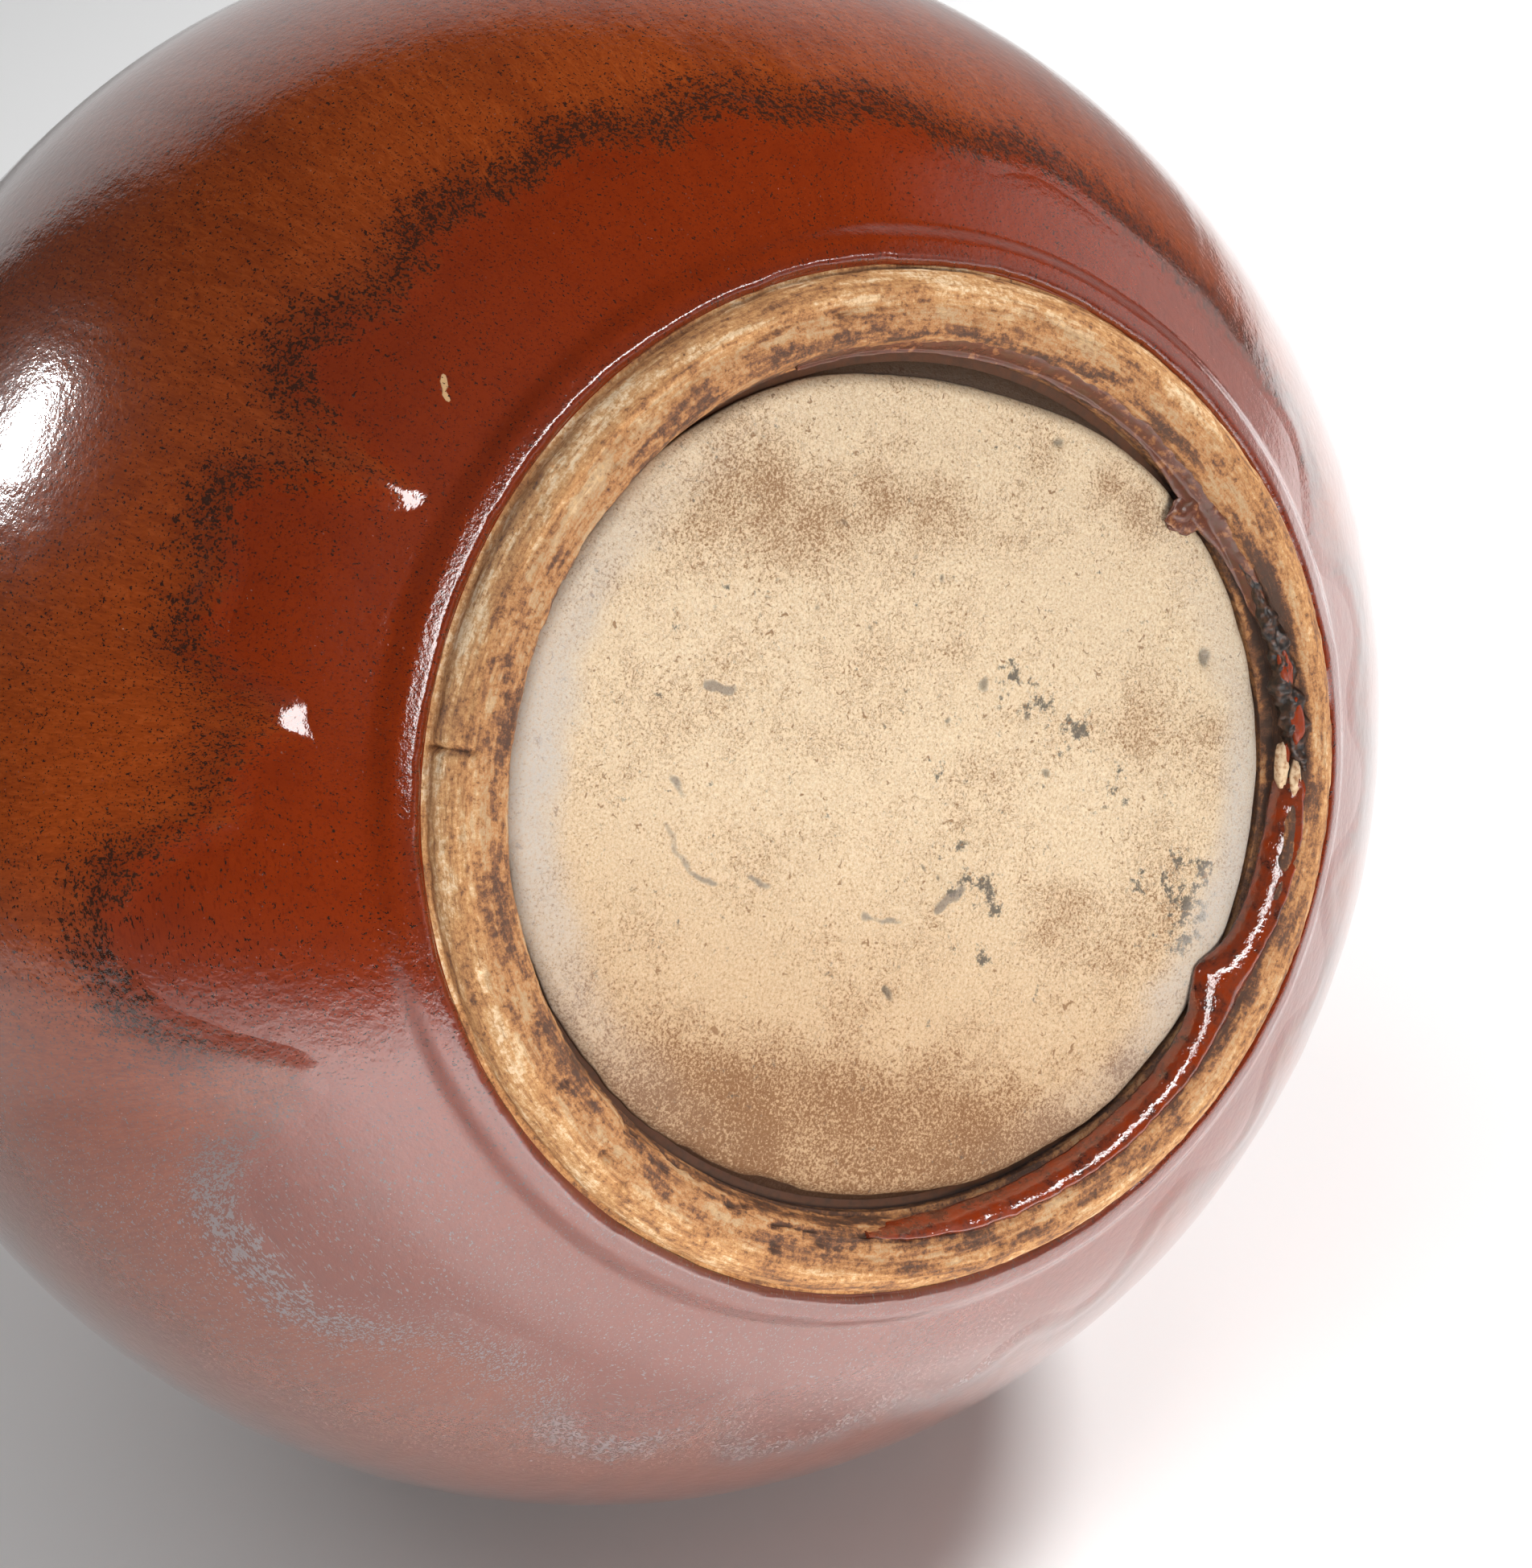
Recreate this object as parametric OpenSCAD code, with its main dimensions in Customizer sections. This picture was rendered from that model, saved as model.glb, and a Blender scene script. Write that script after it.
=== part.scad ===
// Globe vase: a clay globe thrown in two halves and luted at the belly, with a straight neck,
// a foot ring and an inset base disc, each joined with slip. A red-brown first glaze covers the
// outside down to the foot, and a thicker second glaze runs down over it in tongues.
// The vase stands on its foot: Z runs up its axis, and the resting plane is at zero.

/* [Globe] */
// Outside diameter of the clay globe
globe_d = 216; // [175:1:262]
// Thickness of the clay wall of the globe
globe_wall = 6.5; // [5:0.1:8]
// Depth of the V that keys the two halves together at the belly
belly_key = 3; // [1:0.5:4]
// How far the slip of the belly joint stands out inside the globe
belly_ridge = 1.6; // [0.5:0.1:3]
// Radius of that ridge's rounding
belly_ridge_r = 9; // [5:1:14]

/* [Neck] */
// Overall height of the vase
height = 330; // [275:1:396]
// Outside diameter of the clay neck
neck_d = 66; // [55:1:80]
// Thickness of the clay wall of the neck
neck_wall = 5.5; // [4:0.1:7]
// Depth of the V that keys the neck to the shoulder
neck_key = 2; // [1:0.5:3]
// Radius of the hollow curve from the shoulder to the neck
shoulder_fillet = 12; // [8:1:20]
// How far the lip turns out from the neck
lip_flare = 3; // [2:0.5:6]
// Radius of the curve that turns the lip out
lip_flare_r = 60; // [30:1:90]

/* [Foot] */
// Outside diameter of the foot ring
foot_d = 123; // [102:1:148]
// Height of the ring's outer wall, from the bevel up to the globe
foot_wall_h = 2; // [1:0.1:4]
// Width of the outer bevel of the foot ring
foot_bevel_w = 2.5; // [1:0.1:4]
// Height of the outer bevel of the foot ring
foot_bevel_h = 3; // [2:0.1:5]
// Width of the flat face that the vase stands on
foot_face_w = 5.8; // [4.5:0.1:7]
// Width of the sloping inner side of the foot ring
foot_slope_w = 1.4; // [1:0.1:2]
// Height of the sloping inner side of the foot ring
foot_slope_h = 5; // [4:0.1:6]
// Height of the foot ring up to its joint with the globe
foot_ring_h = 9.5; // [8:0.1:11.4]

/* [Base] */
// Thickness of the base disc
base_t = 8.5; // [7:0.5:12]
// Depth of the base disc's face above the resting plane
base_recess = 4.5; // [3.5:0.1:5.4]
// Rounding of the base disc's lower edge
base_round = 1.5; // [0.8:0.1:2]
// Width of the open groove between the base disc and the foot ring
base_gap = 1.2; // [0.8:0.1:2]
// Depth of that groove from the base disc's face
base_groove = 2.2; // [1.8:0.1:2.6]

/* [Slip and glaze] */
// Thickness of the slip in each joint
slip_t = 0.8; // [0.4:0.1:1.5]
// Thickness of the first glaze
first_t = 0.8; // [0.5:0.1:1.2]
// Thickness of the second glaze
second_t = 1.2; // [0.6:0.1:1.8]
// Thickness of the glaze inside
inside_t = 0.8; // [0.4:0.1:1.2]
// Height of the first glaze's rolled edge above the foot ring's outer wall
glaze_stop = 0.6; // [0.4:0.1:4]
// Radius of the first glaze's rolled edge
glaze_roll_r = 1.3; // [1:0.1:1.8]
// How far the glaze of the neck laps down into the glaze below it
glaze_lap = 2; // [1:0.5:3]

/* [Run edge] */
// Distance over the globe from the first glaze's rolled edge to the middle line of the run edge
run_line = 26; // [22:1:32]
// How far that line swings up the globe on one side
run_swing = 11; // [0:0.5:13]
// Compass angle of the side where the line stays highest
run_swing_at = 230; // [0:5:355]
// Least distance between a tongue's tip and the first glaze's rolled edge
run_stop = 3; // [1:0.5:10]
// Angle between the points of the run edge
run_step = 2; // [1:1:3]

/* [Kiln marks] */
// Compass angle where the glaze run inside the foot begins
foot_run_from = 80; // [0:1:359]
// Angle that the glaze run inside the foot takes up
foot_run_turn = 92; // [20:1:120]
// Greatest thickness of the glaze run inside the foot
foot_run_t = 1.5; // [0.6:0.1:2]
// Height of the bare clay above and below that glaze run
foot_run_bare = 0.5; // [0.3:0.1:1]
// Radius of the largest bit of kiln grit
grit_r = 2; // [1:0.1:3]

/* [Hidden] */
$fn = 240;
globe_r = globe_d / 2;
cavity_r = globe_r - globe_wall;
foot_r = foot_d / 2;
neck_r = neck_d / 2;
bore_r = neck_r - neck_wall;

// The globe sits where its outside meets the top of the foot ring's outer wall.
foot_top_z = foot_bevel_h + foot_wall_h;
globe_z = foot_top_z + sqrt(pow(globe_r, 2) - pow(foot_r, 2));

// Foot ring and base disc, from the bevel inwards
face_out_r = foot_r - foot_bevel_w;
face_in_r = face_out_r - foot_face_w;
hole_r = face_in_r - foot_slope_w;
base_r = hole_r - base_gap;
foot_slope = atan2(foot_slope_w, foot_slope_h);
base_top_z = base_recess + base_t;
groove_z = base_recess + base_groove;

// Middle of the wall at each keyed joint, and the top of the slip on the foot ring
belly_mid_r = globe_r - globe_wall / 2;
neck_mid_r = neck_r - neck_wall / 2;
foot_joint_z = foot_ring_h + slip_t;

// Centre of the hollow curve between the shoulder and the neck
shoulder_x = neck_r + shoulder_fillet;
shoulder_z = globe_z + sqrt(pow(globe_r + shoulder_fillet, 2) - pow(shoulder_x, 2));

// Lip: two arcs about one centre carry the wall outwards, and a half round closes it.
lip_turn = acos(1 - lip_flare / lip_flare_r);
lip_round = neck_wall / 2;
flare_z = height - first_t - lip_round - (lip_flare_r + lip_round) * sin(lip_turn);
flare_x = neck_r + lip_flare_r;
lip_x = flare_x - (lip_flare_r + lip_round) * cos(lip_turn);
lip_z = flare_z + (lip_flare_r + lip_round) * sin(lip_turn);

// Curve on which the second glaze thins to nothing at the lip
thin_x = flare_x - (lip_flare_r - first_t) * cos(lip_turn) - neck_r - first_t - second_t;
thin_z = (lip_flare_r - first_t) * sin(lip_turn);
thin_r = (pow(thin_x, 2) + pow(thin_z, 2)) / (2 * thin_x);

// Steps in each of the lip's arcs
lip_steps = 8;

// Place of the first glaze's rolled edge on the globe
glaze_z = foot_top_z + glaze_stop;
glaze_r = sqrt(pow(globe_r, 2) - pow(globe_z - glaze_z, 2));

// Outside of the first glaze, and the angle over it from the bottom to the top of the rolled edge
first_r = globe_r + first_t;
glaze_turn = asin(glaze_r / globe_r) + degrees(glaze_roll_r / first_r);

// Tongues of the second glaze: compass angle, reach towards the foot, half width in degrees
TONGUES = [
  [25, 3, 15], [52, 11, 7], [71, 8, 6], [90, 14, 7], [108, 11, 7], [128, 14, 8], [146, 9, 6],
  [160, 8, 5], [177, 15, 5], [194, 13, 6], [204, 13, 6], [232, 20, 7], [256, 17, 6], [264, 19, 4],
  [273, 10, 7], [286, 24, 5], [300, 8, 7], [314, 5, 6], [327, 5, 5], [341, 4, 6], [356, 4, 6]
];

// Points along and across the glaze run inside the foot
foot_run_rows = 24;
foot_run_sides = 6;

// Fullness of that run towards its ends, and how far it thins between its lumps
foot_run_full = 0.6;
foot_run_dip = 0.5;

// Bits of kiln grit inside the foot: compass angle, radius as a part of the largest
GRIT = [[49, 0.5], [54, 0.8], [60, 0.6], [65, 0.9], [70, 0.6], [75, 1]];

// Clearance of a flat bit of grit from the curved slope behind it
grit_seat = 0.05;

// Colours of the unglazed clay and of the slip in the joints
clay_colour = "#c9a77c";
slip_colour = "#b8946a";

// Difference between two compass angles, from -180 to 180
function turn(a, b) = (a - b) - 360 * round((a - b) / 360);

// An angle given as a length of arc over its radius, in degrees
function degrees(radians) = radians * 180 / PI;

// How far one tongue pulls the run edge down at a compass angle
function pull(a, tongue) = tongue[1] * exp(-pow(abs(turn(a, tongue[0]) / tongue[2]), 3));

function sum(list, i = 0) = i < len(list) ? list[i] + sum(list, i + 1) : 0;

// Distance over the globe from the first glaze's rolled edge to the run edge at a compass angle
function run_arc(a) = max(
  run_stop,
  run_line + run_swing * cos(a - run_swing_at) - sum([for (t = TONGUES) pull(a, t)])
);

// Angle over the globe from the bottom to the run edge at a compass angle
function run_turn(a) = glaze_turn + degrees(run_arc(a) / first_r);

// Half of the plane on the outer side of the axis
module outer_half() {
  translate([0, -height]) square([2 * globe_d, 3 * height]);
}

// Everything below height z
module below(z) {
  translate([0, -height]) square([2 * globe_d, height + z]);
}

// Everything above a level joint with a V key pressed down along radius r
module above(z, r, key) {
  polygon([
    [0, z], [r - key, z], [r, z - key], [r + key, z], [2 * globe_d, z],
    [2 * globe_d, 3 * height], [0, 3 * height]
  ]);
}

// Filled outline of the globe and its shoulder, grown by t, up to the foot of the neck
module outside(t) {
  intersection() {
    below(shoulder_z);
    translate([0, globe_z]) circle(r = globe_r + t);
  }
  difference() {
    polygon([[0, globe_z], [shoulder_x, shoulder_z], [0, shoulder_z]]);
    translate([shoulder_x, shoulder_z]) circle(r = shoulder_fillet - t);
  }
}

// Filled outline of the hollow, shrunk by t, up to where the lip turns out
module hollow(t) {
  difference() {
    intersection() {
      translate([0, base_top_z + t]) square([globe_d, height]);
      translate([0, globe_z]) circle(r = cavity_r - t);
    }
    translate([cavity_r - belly_ridge + belly_ridge_r, globe_z]) circle(r = belly_ridge_r + t);
  }
  polygon([[0, globe_z], [bore_r - t, globe_z], [bore_r - t, flare_z], [0, flare_z]]);
}

// Points along an arc of the lip, about the centre on which the wall turns out
function flare_arc(r) = [
  for (i = [0 : lip_steps])
    [flare_x, flare_z] + r * [-cos(lip_turn * i / lip_steps), sin(lip_turn * i / lip_steps)]
];

// Points round the end of the lip, from the inner side at 0 to the outer side at 180 degrees
function lip_arc(r, from, to) = [
  for (i = [0 : lip_steps])
    let (a = 180 - lip_turn - from - (to - from) * i / lip_steps)
    [lip_x + r * cos(a), lip_z + r * sin(a)]
];

function reversed(list) = [for (i = [len(list) - 1 : -1 : 0]) list[i]];

// Clay wall of the globe, above the foot's joint
module wall() {
  difference() {
    outside(0);
    intersection() {
      outer_half();
      translate([0, globe_z]) circle(r = cavity_r);
    }
    translate([0, globe_z]) square([bore_r, height]);
    below(foot_ring_h);
  }
}

// Part of the wall between two keyed joints
module wall_between(z_low, r_low, key_low, z_high, r_high, key_high) {
  difference() {
    intersection() {
      wall();
      above(z_low, r_low, key_low);
    }
    above(z_high, r_high, key_high);
  }
}

module lower_bowl() {
  color(clay_colour) rotate_extrude()
    wall_between(foot_joint_z, globe_r, 0, globe_z, belly_mid_r, belly_key);
}

module belly_seam() {
  color(slip_colour) rotate_extrude() {
    wall_between(globe_z, belly_mid_r, belly_key, globe_z + slip_t, belly_mid_r, belly_key);
    intersection() {
      translate([0, globe_z]) circle(r = cavity_r);
      translate([cavity_r - belly_ridge + belly_ridge_r, globe_z]) circle(r = belly_ridge_r);
    }
  }
}

module upper_bowl() {
  color(clay_colour) rotate_extrude()
    wall_between(globe_z + slip_t, belly_mid_r, belly_key, shoulder_z, neck_mid_r, neck_key);
}

// Lower edge of the neck with its V key, from the bore outwards
function neck_key_points(z) = [
  [bore_r, z], [neck_mid_r - neck_key, z], [neck_mid_r, z - neck_key],
  [neck_mid_r + neck_key, z], [neck_r, z]
];

module neck_seam() {
  color(slip_colour) rotate_extrude()
    polygon(concat(neck_key_points(shoulder_z), reversed(neck_key_points(shoulder_z + slip_t))));
}

module neck() {
  color(clay_colour) rotate_extrude() polygon(concat(
    reversed(neck_key_points(shoulder_z + slip_t)),
    flare_arc(lip_flare_r + neck_wall),
    lip_arc(lip_round, 0, 180),
    reversed(flare_arc(lip_flare_r))
  ));
}

module foot_seam() {
  color(slip_colour) rotate_extrude()
    wall_between(foot_ring_h, globe_r, 0, foot_joint_z, globe_r, 0);
}

// Outline of the foot ring: standing face, bevel, outer wall, inner slope and the globe's curve
module foot_outline() {
  difference() {
    union() {
      intersection() {
        square([globe_d, foot_ring_h]);
        translate([0, globe_z]) circle(r = globe_r);
      }
      polygon([
        [0, 0], [face_out_r, 0], [foot_r, foot_bevel_h], [foot_r, foot_top_z], [0, foot_ring_h]
      ]);
    }
    square([hole_r, foot_ring_h]);
    polygon([[0, 0], [face_in_r, 0], [hole_r, foot_slope_h], [0, foot_slope_h]]);
  }
}

module foot_ring() {
  color("#a9753f") rotate_extrude() foot_outline();
}

module base_seam() {
  color("#6b4a2c") rotate_extrude() difference() {
    union() {
      translate([0, groove_z]) square([hole_r, base_top_z - groove_z]);
      intersection() {
        translate([0, foot_ring_h]) square([globe_d, base_top_z - foot_ring_h]);
        translate([0, globe_z]) circle(r = cavity_r);
      }
    }
    square([base_r, base_top_z]);
  }
}

module base_disc() {
  color("#f0d6a8") rotate_extrude() {
    translate([0, base_recess]) square([base_r - base_round, base_t]);
    translate([0, base_recess + base_round]) square([base_r, base_t - base_round]);
    translate([base_r - base_round, base_recess + base_round]) circle(r = base_round);
  }
}

module first_glaze() {
  color("#7d230a") {
    rotate_extrude() difference() {
      union() {
        difference() {
          outside(first_t);
          below(glaze_z);
        }
        translate([glaze_r, glaze_z]) circle(r = glaze_roll_r);
      }
      outside(0);
      foot_outline();
    }
    rotate_extrude() polygon(concat(
      [[neck_r + first_t / 2, shoulder_z - glaze_lap], [neck_r, shoulder_z]],
      flare_arc(lip_flare_r),
      lip_arc(lip_round, 180, 90),
      lip_arc(lip_round + first_t, 90, 180),
      reversed(flare_arc(lip_flare_r - first_t)),
      [[neck_r + first_t, shoulder_z]]
    ));
  }
}

// Everything below the run edge, as a fluted cone from the globe's centre: its sides stand square
// to the glaze
module below_run_edge() {
  angles = [0 : run_step : 360 - run_step];
  rim = [for (a = angles) let (r = globe_z * tan(run_turn(a))) [r * cos(a), r * sin(a), 0]];
  points = concat(rim, [[0, 0, globe_z]]);
  count = len(rim);
  sides = [for (i = [0 : count - 1]) [i, count, (i + 1) % count]];
  floor = [for (i = [0 : count - 1]) i];
  polyhedron(points, concat(sides, [floor]));
}

module second_glaze() {
  on_neck_r = neck_r + first_t + second_t;
  color("#96551f") {
    difference() {
      rotate_extrude() difference() {
        outside(first_t + second_t);
        outside(first_t);
        below(glaze_z);
      }
      below_run_edge();
    }
    rotate_extrude() polygon(concat(
      [[neck_r + first_t + second_t / 2, shoulder_z - glaze_lap], [neck_r + first_t, shoulder_z]],
      flare_arc(lip_flare_r - first_t),
      [for (i = [lip_steps - 1 : -1 : 0])
        let (a = asin(thin_z / thin_r) * i / lip_steps)
        [on_neck_r + thin_r * (1 - cos(a)), flare_z + thin_r * sin(a)]],
      [[on_neck_r, shoulder_z]]
    ));
  }
}

module inside_glaze() {
  color("#8a4a22") {
    rotate_extrude() difference() {
      hollow(0);
      hollow(inside_t);
    }
    rotate_extrude() polygon(concat(
      [[bore_r - inside_t / 2, flare_z - glaze_lap]],
      flare_arc(lip_flare_r + neck_wall),
      lip_arc(lip_round, 0, 90),
      lip_arc(lip_round + inside_t, 90, 0),
      reversed(flare_arc(lip_flare_r + neck_wall + inside_t))
    ));
  }
}

// Swell of the glaze run along its length: lumps with dips between them, and nothing at its ends
function swell(f) = pow(sin(180 * f), foot_run_full) * (1 - foot_run_dip * pow(sin(360 * f), 2));

// Point of the glaze run, at part f of its length and part s of its width up the foot's inner slope
function foot_run_point(f, s) =
  let (
    up = foot_run_bare + (foot_slope_h - 2 * foot_run_bare) * s,
    bulge = foot_run_t * swell(f) * sin(180 * s),
    r = face_in_r - up * tan(foot_slope) - bulge * cos(foot_slope),
    a = foot_run_from + foot_run_turn * f
  )
  [r * cos(a), r * sin(a), up - bulge * sin(foot_slope)];

module foot_run() {
  ring = foot_run_sides + 1;
  last = foot_run_rows - 2;
  points = [
    for (i = [0 : last], s = [0 : foot_run_sides])
      foot_run_point((i + 1) / foot_run_rows, s / foot_run_sides)
  ];
  sides = [
    for (i = [0 : last - 1], s = [0 : ring - 1])
      let (a = i * ring + s, b = i * ring + (s + 1) % ring)
      each [[a, b, b + ring], [a, b + ring, a + ring]]
  ];
  start = [for (s = [ring - 1 : -1 : 0]) s];
  end = [for (s = [0 : ring - 1]) last * ring + s];
  color("#5a1206") polyhedron(points, concat(sides, [start, end]));
}

// Bits of grit: round caps fused flat on to the foot's inner slope
module kiln_grit() {
  mid_r = face_in_r - foot_slope_w / 2 - grit_seat;
  color("#1c1512") for (bit = GRIT)
    rotate(bit[0]) translate([mid_r, 0, foot_slope_h / 2]) rotate([0, -90 - foot_slope, 0])
      intersection() {
        sphere(r = grit_r * bit[1]);
        translate([-grit_r, -grit_r, 0]) cube(2 * grit_r);
      }
}

lower_bowl();
belly_seam();
upper_bowl();
neck_seam();
neck();
foot_seam();
foot_ring();
base_seam();
base_disc();
first_glaze();
second_glaze();
inside_glaze();
foot_run();
kiln_grit();
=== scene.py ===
"""Surfaces and finishes of a globe vase lying on its side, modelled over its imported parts.

Sizes inside the script are millimetres in the vase's own frame. Z runs up the vase's axis from the
face of its foot, and compass angles are degrees from +X towards +Y.
"""
import itertools
import math
from types import SimpleNamespace

import bpy
import numpy as np
from bpy.props import FloatProperty, FloatVectorProperty, IntProperty, PointerProperty
from mathutils import Matrix, Vector, kdtree


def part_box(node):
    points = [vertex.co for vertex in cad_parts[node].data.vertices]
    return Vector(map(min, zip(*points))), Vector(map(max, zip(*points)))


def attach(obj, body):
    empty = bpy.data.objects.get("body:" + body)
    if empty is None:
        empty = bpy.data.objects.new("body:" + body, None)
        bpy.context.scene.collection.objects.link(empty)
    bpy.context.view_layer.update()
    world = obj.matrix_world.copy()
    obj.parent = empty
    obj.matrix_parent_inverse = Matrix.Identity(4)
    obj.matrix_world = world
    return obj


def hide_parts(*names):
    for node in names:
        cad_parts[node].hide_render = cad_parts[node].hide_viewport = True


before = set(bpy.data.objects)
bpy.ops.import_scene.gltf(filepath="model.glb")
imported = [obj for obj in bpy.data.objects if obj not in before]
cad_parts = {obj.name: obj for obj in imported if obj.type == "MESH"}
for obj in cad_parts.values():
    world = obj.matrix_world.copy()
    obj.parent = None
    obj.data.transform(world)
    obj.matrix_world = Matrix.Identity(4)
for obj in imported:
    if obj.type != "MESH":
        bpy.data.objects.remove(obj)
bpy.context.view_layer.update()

bl_info = {
    "name": "Globe Vase Finishes",
    "version": (1, 0, 0),
    "blender": (4, 5, 0),
    "location": "View3D > Sidebar > Vase",
    "description": "Models the glazes, foot, base and kiln marks of a globe vase and stages it",
    "category": "Object",
}

MM = 0.001
LIP_STEPS = 7

# Tongues of the second glaze: compass angle, reach towards the foot, half width in degrees
TONGUES = (
    (25, 3, 15), (52, 11, 7), (71, 8, 6), (90, 14, 7), (108, 11, 7), (128, 14, 8), (146, 9, 6),
    (160, 8, 5), (177, 15, 5), (194, 13, 6), (204, 13, 6), (232, 20, 7), (256, 17, 6), (264, 19, 4),
    (273, 10, 7), (286, 24, 5), (300, 8, 7), (314, 5, 6), (327, 5, 5), (341, 4, 6), (356, 4, 6),
)

# Pits in the foot ring: compass angle, radius, size, depth
RING_PITS = (
    (352, 55.4, 0.7, 0.6), (334, 57.3, 1.3, 0.7), (339, 57.1, 0.8, 0.6), (254, 59.5, 0.7, 0.4),
    (238, 59.2, 0.6, 0.4), (186, 56.6, 0.8, 0.7), (180, 54.9, 0.7, 0.6), (300, 56.2, 0.6, 0.4),
    (212, 57.5, 0.9, 0.7), (208, 59.0, 0.6, 0.5), (30, 57.0, 0.6, 0.4), (154, 57.8, 0.6, 0.5),
    (270, 55.0, 0.6, 0.4), (222, 55.8, 0.7, 0.6),
)

# Scratch in the first glaze: compass angle, radius, size, strength
CHIP = ((296.8, 73.7, 0.5, 1), (296.3, 73.2, 0.5, 1), (295.8, 72.7, 0.45, 1), (295.4, 72.2, 0.35, 1))

# Round dents in the base disc: compass angle and radius of the middle, size, depth
DENTS = ((243, 22, 8, 0.45), (164, 9, 7.5, 0.5), (60, 24, 16, 0.25), (300, 30, 14, 0.25))

# Pits and iron spots in the base disc: compass angle, radius, size, depth
BASE_PITS = (
    (356, 25.7, 0.5, 0.4), (21, 10.1, 0.5, 0.4), (330, 33, 0.7, 0.3), (347, 27.7, 0.6, 0.3),
    (311, 30.8, 0.5, 0.3), (307, 30, 0.4, 0.3), (317, 24.6, 0.5, 0.3), (28, 15.8, 0.9, 0.4),
    (50, 18.7, 0.6, 0.4), (73, 19.8, 0.6, 0.4), (332, 19.8, 0.6, 0.3), (12, 46, 0.8, 0.4),
    (57, 45, 1.2, 0.6), (171, 25, 0.5, 0.5), (150, 10.4, 0.4, 0.4), (143, 12.4, 0.4, 0.4),
    (167, 21.9, 0.5, 0.3), (216, 38.2, 0.4, 0.3), (240, 37.4, 0.5, 0.3),
)

# Scars on the base disc, each a line of compass angles and radii
SCARS = (
    ((251, 32), (245, 31.4), (239, 30), (234, 28.1)), ((231, 23), (227, 21.6)),
    ((187, 16.6), (177, 16.7), (168, 16.7)), ((150, 16.4), (141, 15.6), (134, 14.8)),
    ((283, 30), (283, 27.5), (286, 26.5)), ((261, 30.8), (253, 28)),
)

# Charcoal smears on the base disc: compass angle, radius, size, strength
SMEARS = (
    (34, 18.7, 2.5, 0.8), (47, 20.6, 2.5, 1.0), (61, 24.4, 2.5, 0.9), (342, 10.3, 2, 0.7),
    (53, 4.5, 2, 0.6), (133, 15.3, 2.5, 0.8), (124, 17.5, 2.5, 0.9), (122, 10.5, 2, 0.8),
    (126, 19.8, 2, 0.8), (139, 24, 2.5, 0.7), (98, 36.6, 3, 0.6), (95, 41, 4, 0.9), (93, 44, 3, 0.9),
    (99, 44, 4, 1.0), (104, 45, 3, 0.9), (80, 30, 5, 0.4),
)

# Brown stains on the base disc: compass angle, radius, size, strength
STAINS = (
    (312, 44, 6, 0.7), (318, 39, 7, 0.9), (324, 35, 6, 0.8), (340, 35.5, 5, 0.8), (349, 34.5, 5, 0.6),
    (305, 42, 6, 0.6), (289, 47, 3, 0.5), (11, 44, 5, 0.6), (23, 46, 4, 0.8), (31, 46, 4, 0.8),
    (35, 48, 3, 0.8), (125, 49, 4, 0.8), (162, 48, 5, 0.8), (90, 38, 6, 0.5), (72, 42, 5, 0.5),
    (104, 42, 6, 0.7), (112, 37, 5, 0.5), (66, 33, 5, 0.4), (118, 28, 6, 0.3), (243, 22, 5, 0.3),
    (165, 9, 5, 0.3),
)

# Glaze run inside the foot: compass angle, inner radius, outer radius, thickness
RUN = (
    (77, 53.0, 54.6, 0.3), (79, 52.2, 55.4, 0.8), (86, 51.8, 56.2, 1.1), (94, 51.6, 55.6, 1.2),
    (101, 50.6, 54.6, 1.3), (106, 48.2, 54.2, 1.3), (109, 49.0, 54.2, 1.4), (114, 50.8, 54.4, 1.4),
    (123, 51.6, 54.8, 1.3), (132, 51.7, 54.9, 1.3), (146, 51.8, 54.8, 1.2), (158, 52.0, 54.7, 1.0),
    (168, 52.6, 54.3, 0.6), (173, 53.2, 53.9, 0.2),
)

# Film of glaze on the foot's inner slope, in the same way
FILM = (
    (328, 51.9, 52.6, 0.1), (340, 51.6, 53.0, 0.3), (355, 51.5, 53.4, 0.4), (10, 51.5, 53.4, 0.4),
    (24, 51.5, 53.2, 0.5), (33, 50.4, 53.2, 0.7), (39, 50.2, 53.2, 0.8), (44, 51.4, 53.2, 0.5),
    (50, 51.9, 53.2, 0.3), (55, 52.6, 53.2, 0.1),
)

# Black slag crust inside the foot: compass angle, radius, height, size
SLAG = (
    (46, 52.6, 2.4, 0.4), (49, 53.0, 2.0, 0.9), (53, 53.2, 1.8, 1.1), (57, 53.4, 1.7, 1.3),
    (61, 53.6, 1.8, 1.5), (65, 53.8, 1.9, 1.6), (69, 54.2, 2.0, 1.7), (72, 54.8, 2.0, 1.8),
    (75, 55.4, 1.7, 1.5), (77, 56.4, 1.2, 0.8),
)

# Red glassy beads in the slag, and pale flakes beside it: compass angle, radius, height, size
RED_BEADS = ((62, 53.6, 0.9, 1.0), (69.5, 54.3, 0.8, 1.1), (74, 53.0, 1.6, 0.6), (79, 55.0, 0.9, 0.7))
PALE_FLAKES = ((75.5, 52.6, 2.0, 1.9), (77.5, 54.2, 1.3, 1.7), (77, 56.2, 0.9, 1.0))

# Tab of glaze that bridges the groove: compass angle, radius, height
TAB = (36, 50.2, 3.6)

# Places round the vase, each a compass angle and a half width in degrees
DRIP = (64, 3)
BEADED = (282, 26)
VALLEY = (345, 40)
RIDGED = (168, 20)
CRUMBLED = (185, 40)
NICK = (263, 0.35)
SLAG_BED = (64, 14)
RUN_BED = (124, 46)
# Where the foot's inner slope is left clean and without its painted shade
CLEAN_UNSHADED_SLOPE = (80, 50)
LEFT_RIM = (262, 36)
RIGHT_RIM = (92, 34)
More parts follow.
